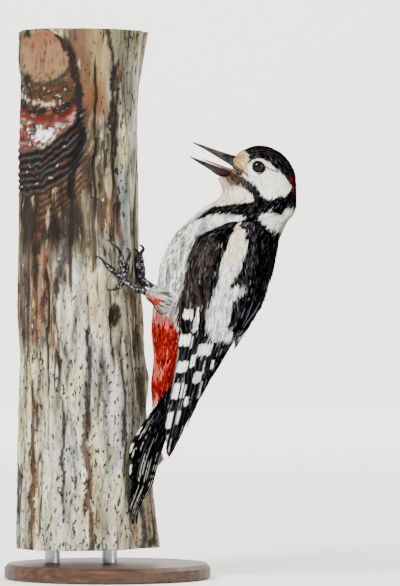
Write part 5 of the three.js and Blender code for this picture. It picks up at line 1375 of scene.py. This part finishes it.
def tail_feathers():
    vanes = []
    for layer, (tip, middle, wide) in reversed(list(enumerate(TAIL_PAIRS))):
        for sign in (1, -1):
            v, u = np.meshgrid(np.linspace(0, 1, TAIL_ROWS), np.linspace(-1, 1, TAIL_COLS), indexing="ij")
            s = TAIL_ROOT + (tip - TAIL_ROOT) * v
            far = s * tail_far[-1]
            ragged = 1 + 0.06 * grain(spots(far * 0.7, 9 * layer + sign), 89)
            half = wide / 2 * table(TAIL_OUTLINE, v) * (0.8 + 0.2 * ease(s, 0, 0.4)) * ragged
            level = -layer * TAIL_STEP * ease(s, -0.1, 0.35)
            shaft = np.exp(-((u / 0.1) ** 2))
            above = level + 0.3 * (1 - u ** 2) + 0.34 * shaft * (1 - 0.6 * v)
            above = above + 0.25 * (1 - 2 * abs(u + 0.2)) * ease(v, 0.85, 1)
            above = above + 5.2 * ease(s, 0.02, 0.35) * fade(s, 0.66, 0.98) * (1 - 0.2 * layer)
            across = u * half
            points = on_tail(s, sign * (middle * table(TAIL_SPREAD, s) + across), above)
            threads = spots(across, 9 * layer + sign, far).reshape(-1, 3)
            streak = grain(threads * [1.5, 1, 0.2], 97)
            tones, lay = canvas(len(streak), BLACK)
            lay(0.5 * ease(streak, 0.2, 0.7), (44, 40, 38))
            bars = 0.5 + 0.5 * np.cos(far.ravel() * 2 * np.pi / 9.5 + 0.5 * np.sin(u.ravel() * 3) + layer)
            outer = ease(u.ravel() + 0.4 * streak + 0.2 * (layer == 4), 0.72, 0.86)
            white = (layer >= 3) * ease(bars, 0.45, 0.6) * outer * ease(v.ravel(), 0.25, 0.4)
            pale_line = ease(grain(threads * [3.4, 1, 0.05], 99), 0.5, 0.58) * (layer < 4)
            lay(0.7 * pale_line, (176, 175, 172))
            lay(white, (236, 233, 224))
            vanes.append((points, across, far, u * sign, tones))
    return vanes


tail = vane_set("tail_feathers", tail_feathers(), False, vane_material)
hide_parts("tail")

# ---------------------------------------------------------------- the bill
# Two jaws of dark horn, chisel-tipped, with fine streaks along them. The upper has a ridge along each side and a
# nostril under its root's bristles; the lower is paler behind. Both grow out of the head's skin.
UPPER_JAW = np.array([  # ridge x and z, cutting edge x and z, half width
    [96.5, 218.6, 94.5, 212.6, 4.6], [93.3, 219.9, 90.7, 215.1, 4.1], [87.4, 221.6, 87.0, 217.4, 3.4],
    [82.3, 223.3, 82.3, 220.2, 2.6], [77.1, 225.1, 77.1, 223.3, 1.7], [71.0, 227.2, 71.0, 226.5, 0.55]])
LOWER_JAW = np.array([
    [90.5, 207.8, 93.5, 211.0, 4.3], [86.9, 208.6, 89.2, 212.5, 3.9], [83.1, 210.2, 85.2, 213.9, 3.3],
    [79.5, 212.8, 80.7, 215.6, 2.4], [74.5, 215.9, 74.9, 217.8, 1.5], [69.5, 219.2, 69.5, 219.8, 0.5]])
JAW_SECTION = pairs(
    0, 0, 0.4, 0.08, 0.72, 0.34, 0.95, 0.72, 1, 1)
NOSTRIL_X, NOSTRIL_Z = 90.2, 218.0


def jaw_mesh(rows):
    """A jaw's points ring by ring, and for each its place along, round, and in the head's mid-plane."""
    rings, steps = 80, 16
    place = np.linspace(0, len(rows) - 1, rings)
    line = read_curve(rows, place)
    round_ = read_curve(JAW_SECTION, np.linspace(0, 4, steps))
    inside = np.stack([np.linspace(0.92, 0, 7)[:-1], 0.96 - 0.05 * np.sin(np.linspace(0.4, np.pi / 2, 6))], axis=1)
    half = np.vstack([round_, inside])
    section = np.vstack([half, (half * [-1, 1])[::-1][1:-1]])
    wide, deep = section[:, 0], section[:, 1]
    x = line[:, None, 0] + (line[:, None, 2] - line[:, None, 0]) * deep
    z = line[:, None, 1] + (line[:, None, 3] - line[:, None, 1]) * deep
    y = wide * line[:, None, 4]
    along = place[:, None] + x * 0
    ridge = np.exp(-(((deep - 0.42) / 0.09) ** 2)) * (deep < 0.9)
    y = y * (1 + 0.05 * ridge)
    pit = np.exp(-(((x - NOSTRIL_X) / 1.25) ** 2 + ((z - NOSTRIL_Z) / 0.55) ** 2)) * (rows is UPPER_JAW)
    y = y - np.sign(y) * 0.9 * pit
    points = in_head(x, y, z)
    cols = len(section)
    points, faces = close_ends(points.reshape(-1, 3), sheet_faces(rings, cols, closed=True), cols)
    return points, outward(points, faces), along.ravel(), (deep + y * 0).ravel(), pit.ravel()


horn, tree, shader = new_material("bill horn", 0.38, Specular_IOR_Level=0.12)
place = add_node(tree, "ShaderNodeTexCoord").outputs["Object"]
for change in ({"Rotation": (0, 0.42, 0)}, {"Scale": (0.12, 1, 1)}):
    place = add_node(tree, "ShaderNodeMapping", {"Vector": place, **change}).outputs["Vector"]
fibres = add_node(tree, "ShaderNodeTexNoise", {"Vector": place, "Scale": 1900, "Detail": 3}).outputs["Fac"]
lined = ramp(tree, fibres, [(0.32, (0.62, 0.62, 0.64)), (0.6, (1.12, 1.12, 1.14))])
dress(tree, shader, mix_colours(tree, 1.0, carried(tree, "plumage", "Color"), lined, "MULTIPLY"), fibres, 0.35)

for name, rows in (("bill_horn_upper", UPPER_JAW), ("bill_horn_lower", LOWER_JAW)):
    points, faces, along, deep, pit = jaw_mesh(rows)
    streak = grain(points[:-2] * [0.25, 1.5, 2.2], 101)
    tones, lay = canvas(len(along), (8, 8, 10))
    lay(0.6 * ease(streak, 0.3, 0.6), (56, 60, 66))
    rear = fade(along, 1.4, 2.3)
    if rows is UPPER_JAW:
        # Painted highlight: blue-grey along the lower side of the upper jaw's rear.
        lay(0.3 * rear * bump(deep - 0.66, 0.12), (50, 58, 74))
        lay(0.65 * fade(abs(along - 2.7), 0.4, 1.0) * bump(deep - 0.32, 0.24) * ease(streak, -0.3, 0.1), (84, 72, 44))
        lay(0.4 * fade(abs(along - 3.3), 0.4, 1.0) * bump(deep - 0.3, 0.25), (60, 60, 54))
        lay(0.8 * ease(deep, 0.8, 0.9), (10, 10, 11))
        lay(0.92 * ease(pit, 0.3, 0.7), (8, 8, 8))
    else:
        low = fade(deep, 0.35, 0.8)
        lay(0.6 * low * fade(along, 3.0, 3.8), (62, 56, 44))
        lay(0.85 * low * fade(along, 2.2, 3.0), (60, 19, 7))
        lay(0.9 * rear * ease(streak, -0.2, 0.15), (18, 8, 8))
    jaw = new_mesh(name, points, faces, horn)
    give_values(jaw, "plumage", np.vstack([tones, tones[:1], tones[-1:]]))
    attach(jaw, "root")
    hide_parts("bill_upper" if rows is UPPER_JAW else "bill_lower")


ROUNDED = 0.05  # the share of a limb's length that rounds off to each end


def limb(path, radii, rings, sides, relief=None, flat=1.0):
    """A closed round limb through the points of a path: its mesh, and the distance along and angle of each point."""
    path, radii = np.asarray(path, float), np.asarray(radii, float)
    s = np.linspace(0, len(path) - 1, rings)
    line = read_curve(path, s)
    r = np.maximum(read_curve(radii[:, None], np.linspace(0, len(radii) - 1, rings))[:, 0], 0.05)
    share = np.linspace(0, 1, rings)
    for from_end in (share, 1 - share):
        r = r * np.sqrt(np.clip(1 - np.clip(1 - from_end / ROUNDED, 0, 1) ** 2, 0.02, 1))
    ahead = unit(np.gradient(line, axis=0))
    out = line - [TRUNK_X, 0, 0]
    out[:, 2] = 0
    out = unit(out - ahead * (out * ahead).sum(axis=1, keepdims=True))
    side = np.cross(ahead, out)
    far = distances(line)
    a = np.arange(sides) * 2 * np.pi / sides
    far_at, angle = np.meshgrid(far, np.degrees(a), indexing="ij")
    grow = relief(far_at, angle) if relief else far_at * 0
    size = (r[:, None] + grow)[..., None]
    points = line[:, None] + size * (out[:, None] * np.cos(a)[:, None] + side[:, None] * np.sin(a)[:, None] * flat)
    points, faces = close_ends(points.reshape(-1, 3), sheet_faces(rings, sides, closed=True), sides)
    return points, outward(points - points.mean(axis=0), faces), far_at.ravel(), angle.ravel()


tongue_material = grained("tongue", 0.3, 1400, [(0.3, (90, 40, 38)), (0.7, (150, 92, 84))], None,
                          {"Subsurface_Weight": 0.15}, Detail=2)
tongue_path = [in_head(x, 0.0, z) for x, z in ((94, 211.4), (88.5, 213.4), (84, 215.15), (79.5, 216.9), (76, 218.2))]
points, faces, _, _ = limb(tongue_path, [0.9, 0.62, 0.5, 0.42, 0.2], 50, 14, flat=1.25)
tongue = new_mesh("tongue_flesh", points, faces, tongue_material)
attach(tongue, "root")
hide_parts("tongue")

# ---------------------------------------------------------------- the eyes and their lids
# Each eye is a glossy ball with a dark red-brown iris round a black pupil, set in the side of the head. Its bare
# lids are a pebbled grey ring that lies on the ball and runs under the feathers.
eye_material, tree, shader = new_material("eye", 0.05, Specular_IOR_Level=0.15)
axis = carried(tree, "from_axis")
iris = ramp(tree, pattern(tree, 2200, Detail=3), [(0.3, colour(12, 3, 2)), (0.7, colour(28, 8, 5))])
tone = mix_colours(tree, ramp(tree, axis, [(0.4, 1), (0.46, 0)]), iris, colour(2, 2, 2))
dress(tree, shader, mix_colours(tree, ramp(tree, axis, [(0.6, 0), (0.7, 1)]), tone, colour(3, 2, 2)))

lid_material = grained("bare lid", 0.6, 2600, [(0.1, (20, 18, 17)), (0.5, (6, 5, 5))], (0.5, 0.0002, True),
                       {"Specular_IOR_Level": 0.05}, kind="Voronoi", output="Distance")

BALL_ROWS, BALL_SIDES, LID_SIDES = 47, 64, 72
LID_PROFILE = [(2.5, -0.12), (2.6, 0.14), (2.75, 0.28), (2.95, 0.28), (3.2, 0.1)]  # radius, and height on the ball
LID_SKIRT = [(3.7, 0.45), (4.4, 0.9), (5.2, 1.4)]  # radius, and depth under the head's skin
PINCHED_TO = 2.9  # the radius within which the lids draw to corners
t, angle = [a.ravel() for a in np.meshgrid(np.linspace(11.5, 18, 200), np.linspace(20, 130, 200), indexing="ij")]
row = read_curve(BODY_LINE, t - FIRST_STATION)
back, front, half = row[:, 0:2], row[:, 2:4], row[:, 4]
half_way = (back + front) / 2 + (back - front) / 2 * np.cos(np.radians(angle))[:, None]
head_side = half * np.sin(np.radians(angle))


def side_of_head(x, z):
    """How far the skin of the head stands from its mid-plane at places given in that plane."""
    near = [np.argmin((half_way[:, 0] - a) ** 2 + (half_way[:, 1] - b) ** 2) for a, b in zip(x.ravel(), z.ravel())]
    return head_side[near].reshape(x.shape)


for side_name, sign in SIDES:
    lat, lon = np.meshgrid(np.linspace(0, np.pi, BALL_ROWS + 2)[1:-1], np.arange(BALL_SIDES) * 2 * np.pi / BALL_SIDES,
                           indexing="ij")
    x = EYE_X + EYE_RADIUS * np.sin(lat) * np.cos(lon)
    z = EYE_Z + EYE_RADIUS * np.sin(lat) * np.sin(lon)
    y = EYE_SIDE + EYE_RADIUS * np.cos(lat)
    points, faces = close_ends(in_head(x, sign * y, z).reshape(-1, 3),
                               sheet_faces(BALL_ROWS, BALL_SIDES, closed=True), BALL_SIDES)
    ball = new_mesh("eyeball_" + side_name, points, outward(points - points.mean(axis=0), faces), eye_material)
    give_values(ball, "from_axis", np.append(np.sin(lat).ravel() + 2 * (np.cos(lat).ravel() < 0), [0, 0]))
    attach(ball, "root")
    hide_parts("eye_" + side_name)

    a = np.arange(LID_SIDES) * 2 * np.pi / LID_SIDES
    pinch = 1 + 0.1 * np.cos(2 * a) ** 3
    rings = []
    for radius, rise in LID_PROFILE:
        r = radius * (1 + (pinch - 1) * (radius < PINCHED_TO))
        on_ball = EYE_SIDE + np.sqrt(np.clip(EYE_RADIUS ** 2 - r ** 2, 0, None))
        rings.append(spots(EYE_X + r * np.cos(a), on_ball + rise + 0.04 * np.sin(a * 18), EYE_Z + r * np.sin(a)))
    for radius, sink in LID_SKIRT:
        x, z = EYE_X + radius * np.cos(a), EYE_Z + radius * np.sin(a)
        rings.append(spots(x, side_of_head(x, z) - sink, z))
    ring = np.array(rings)
    points = in_head(ring[..., 0], sign * ring[..., 1], ring[..., 2]).reshape(-1, 3)
    faces = sheet_faces(len(rings), LID_SIDES, closed=True)
    lid = new_mesh("lids_" + side_name, points, faces if sign < 0 else faces[:, ::-1], lid_material)
    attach(lid, "root")

# ---------------------------------------------------------------- legs, feet and claws
# Bare grey legs with broad scutes down the front, two toes gripping up the bark, one out to the side and the small
# hind toe down. Each toe is padded under its joints and ends in a sharp, strongly curved claw.
PALM = (17, 156)  # degrees round the trunk from the bird's mid-plane, and height
TOE_LIFT = 1.75
TOES = {  # joints as degrees and height, the claw's tip, and half the toe's thickness
    "hallux": ([(20, 153.4), (24.5, 151.8)], (33, 151), 1.25),
    "inner": ([(12.5, 160.5), (9.5, 166)], (8, 172.5), 1.35),
    "middle": ([(17, 162.2), (19, 169.3)], (27.5, 174.6), 1.5),
    "outer": ([(27, 160.6), (36, 164.3)], (47, 168.6), 1.4)}
TOE_PADS = np.array([1.15, 0.9, 1.06, 0.88, 1.04, 0.9, 0.78])
CLAW_RADII = np.array([0.95, 1.05, 1, 0.85, 0.68, 0.45, 0.12])


def on_perch(place, above, sign):
    turn, height = np.float64(sign * place[0] + BIRD_TURN), np.float64(place[1])
    r = trunk_radius(turn, height) + above
    return np.array([TRUNK_X + r * np.cos(np.radians(turn)), r * np.sin(np.radians(turn)), height])


def scutes(pitch, deep):
    """Overlapping plates along the front of a leg or toe and small scales round the rest of it."""

    def relief(far, angle):
        front = ease(np.cos(np.radians(angle)), -0.1, 0.5)
        plate = 1 - (far / pitch + 0.04 * np.cos(np.radians(2 * angle))) % 1
        scales = grain(spots(far * 2.2, angle / 26), 107)
        return deep * (front * (plate - 0.4) + (1 - front) * 0.8 * scales)

    return relief


leg_material, tree, shader = new_material("leg skin", 0.55, Specular_IOR_Level=0.12)
cells = pattern(tree, 1100, "Voronoi", "Distance", Randomness=0.9)
tone = ramp(tree, pattern(tree, 620, Detail=3), [
    (0.4, colour(16, 17, 19)), (0.5, colour(78, 80, 82)), (0.6, colour(186, 184, 178))])
tone = mix_colours(tree, 1.0, tone, ramp(tree, cells, [(0.3, 1), (0.6, (0.12, 0.12, 0.13))]), "MULTIPLY")
# Painted shade: the leg skin turns nearly black along the edges of legs and toes.
dress(tree, shader, mix_colours(tree, carried(tree, "clear_of_edge_shade"), colour(7, 7, 8), tone), cells, 0.4, invert=True)

claw_material = grained("claw horn", 0.3, 900, [(0.3, (5, 5, 6)), (0.7, (26, 26, 28))], None,
                        {"Specular_IOR_Level": 0.25}, Detail=3)


def paint_edge_shade(piece):
    """Painted shade: legs and toes are painted nearly black along their edges and keep their paler tone on the sides
    that face along y.
    """
    normal = np.empty(3 * len(piece.data.vertices), np.float32)
    piece.data.vertex_normals.foreach_get("vector", normal)
    give_values(piece, "clear_of_edge_shade", ease(np.abs(normal[1::3]), 0.45, 0.85))


for side_name, sign in SIDES:
    palm = on_perch(PALM, TOE_LIFT + 0.7, sign)
    heel = to_world(HEEL[0] + 3.5, sign * HEEL[1], HEEL[2] - 0.2)
    shin = [heel + (palm - heel) * s + [0, 0, -4.4 * s * (1 - s)] for s in (0, 0.3, 0.65, 1)]
    points, faces, _, _ = limb(shin, [2.5, 1.75, 1.6, 1.9], 110, 28, scutes(1.35, 0.2))
    leg = new_mesh("shin_" + side_name, points, faces, leg_material)
    paint_edge_shade(leg)
    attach(leg, "root")
    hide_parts("tarsus_" + side_name)

    parts = [limb([palm + [0, 0, 1.6], palm, palm + [0, 0, -1.6]], [1.7, 2.3, 1.6], 24, 24, scutes(1.1, 0.12))[:2]]
    for toe, (joints, tip, thick) in TOES.items():
        line = [palm] + [on_perch(place, TOE_LIFT, sign) for place in joints]
        parts.append(limb(line, TOE_PADS * thick, 90, 22, scutes(0.95, 0.16))[:2])
        ahead = unit(np.subtract(*read_curve(line, np.array([2.0, 1.9]))))
        last = np.array(joints[-1], float)
        between = lambda share, rise: (last[0] + (tip[0] - last[0]) * share, last[1] + (tip[1] - last[1]) * rise)
        bends = [line[-1] - ahead * 0.6, line[-1] + ahead * 1.1, on_perch(between(0.45, 0.6), TOE_LIFT + 1, sign),
                 on_perch(between(0.8, 0.95), 1.5, sign), on_perch(tip, -0.5, sign)]
        points, faces, _, _ = limb(bends, CLAW_RADII, 60, 18, flat=0.72)
        claw = new_mesh("nail_" + toe + "_" + side_name, points, faces, claw_material)
        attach(claw, "root")
        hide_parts("claw_" + toe + "_" + side_name)
    shift = np.cumsum([0] + [len(p) for p, _ in parts[:-1]])
    foot = new_mesh("toes_" + side_name, np.vstack([p for p, _ in parts]),
                    np.vstack([f + n for (_, f), n in zip(parts, shift)]), leg_material)
    paint_edge_shade(foot)
    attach(foot, "root")
    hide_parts("foot_" + side_name)

# ---------------------------------------------------------------- floor, light and camera
# A pale paper floor that sweeps up well behind the model. A soft key light from the upper left, a fill from the
# right, a weak rim light from behind, and one lamp on the backdrop alone.
studio_paper = grained("pale paper", 0.9, 300, [(0.3, (248, 247, 244)), (0.7, (252, 251, 248))], Detail=3)
FLOOR_HALF, FLOOR_FRONT, FLOOR_BACK, CURVE, WALL_TOP = 9000, -9000, 4000, 900, 3600
profile = [(FLOOR_FRONT + (FLOOR_BACK - FLOOR_FRONT) * s, 0) for s in np.linspace(0, 0.95, 10)]
profile += [(FLOOR_BACK + CURVE * np.sin(a), CURVE - CURVE * np.cos(a)) for a in np.linspace(0, np.pi / 2, 16)]
profile += [(FLOOR_BACK + CURVE, WALL_TOP)]
sweep = np.array([[x, y, z] for y, z in profile for x in (FLOOR_HALF, -FLOOR_HALF)])
floor = new_mesh("floor", sweep, sheet_faces(len(profile), 2)[:, ::-1], studio_paper)

camera = bpy.data.objects.new("camera", bpy.data.cameras.new("camera"))
bpy.context.scene.collection.objects.link(camera)
FRAME_HIGH = 0.307  # metres that the picture spans from top to bottom
CAMERA_FAR, CAMERA_ACROSS, CAMERA_UP = 2.4, 0.0485, 0.1495
camera.data.lens = camera.data.sensor_width * CAMERA_FAR / FRAME_HIGH
camera.data.clip_end = 20
camera.location = (CAMERA_ACROSS, -CAMERA_FAR, CAMERA_UP)
camera.rotation_euler = (np.pi / 2, 0, 0)
bpy.context.scene.camera = camera

for name, where, aim, size, power in (
    ("key", (-0.9, -1.3, 1.35), (0.02, 0, 0.14), 0.62, 80),
    ("fill", (2.6, -2.4, 0.86), (0.02, 0, 0.14), 2.4, 132),
    ("rim", (0.7, 0.7, 1.0), (0.03, 0, 0.16), 0.6, 12),
    ("backdrop", (0, 2.4, 2.6), (0, 4.3, 0.2), 2.4, 212),
):
    lamp = bpy.data.objects.new(name, bpy.data.lights.new(name, "AREA"))
    lamp.data.size = size
    lamp.data.energy = power
    lamp.location = where
    lamp.rotation_euler = (Vector(aim) - Vector(where)).to_track_quat("-Z", "Y").to_euler()
    bpy.context.scene.collection.objects.link(lamp)
world = bpy.data.worlds.new("studio")
world.use_nodes = True
world.node_tree.nodes["Background"].inputs["Color"].default_value = (1.0, 0.98, 0.95, 1)
world.node_tree.nodes["Background"].inputs["Strength"].default_value = 0.785
bpy.context.scene.world = world
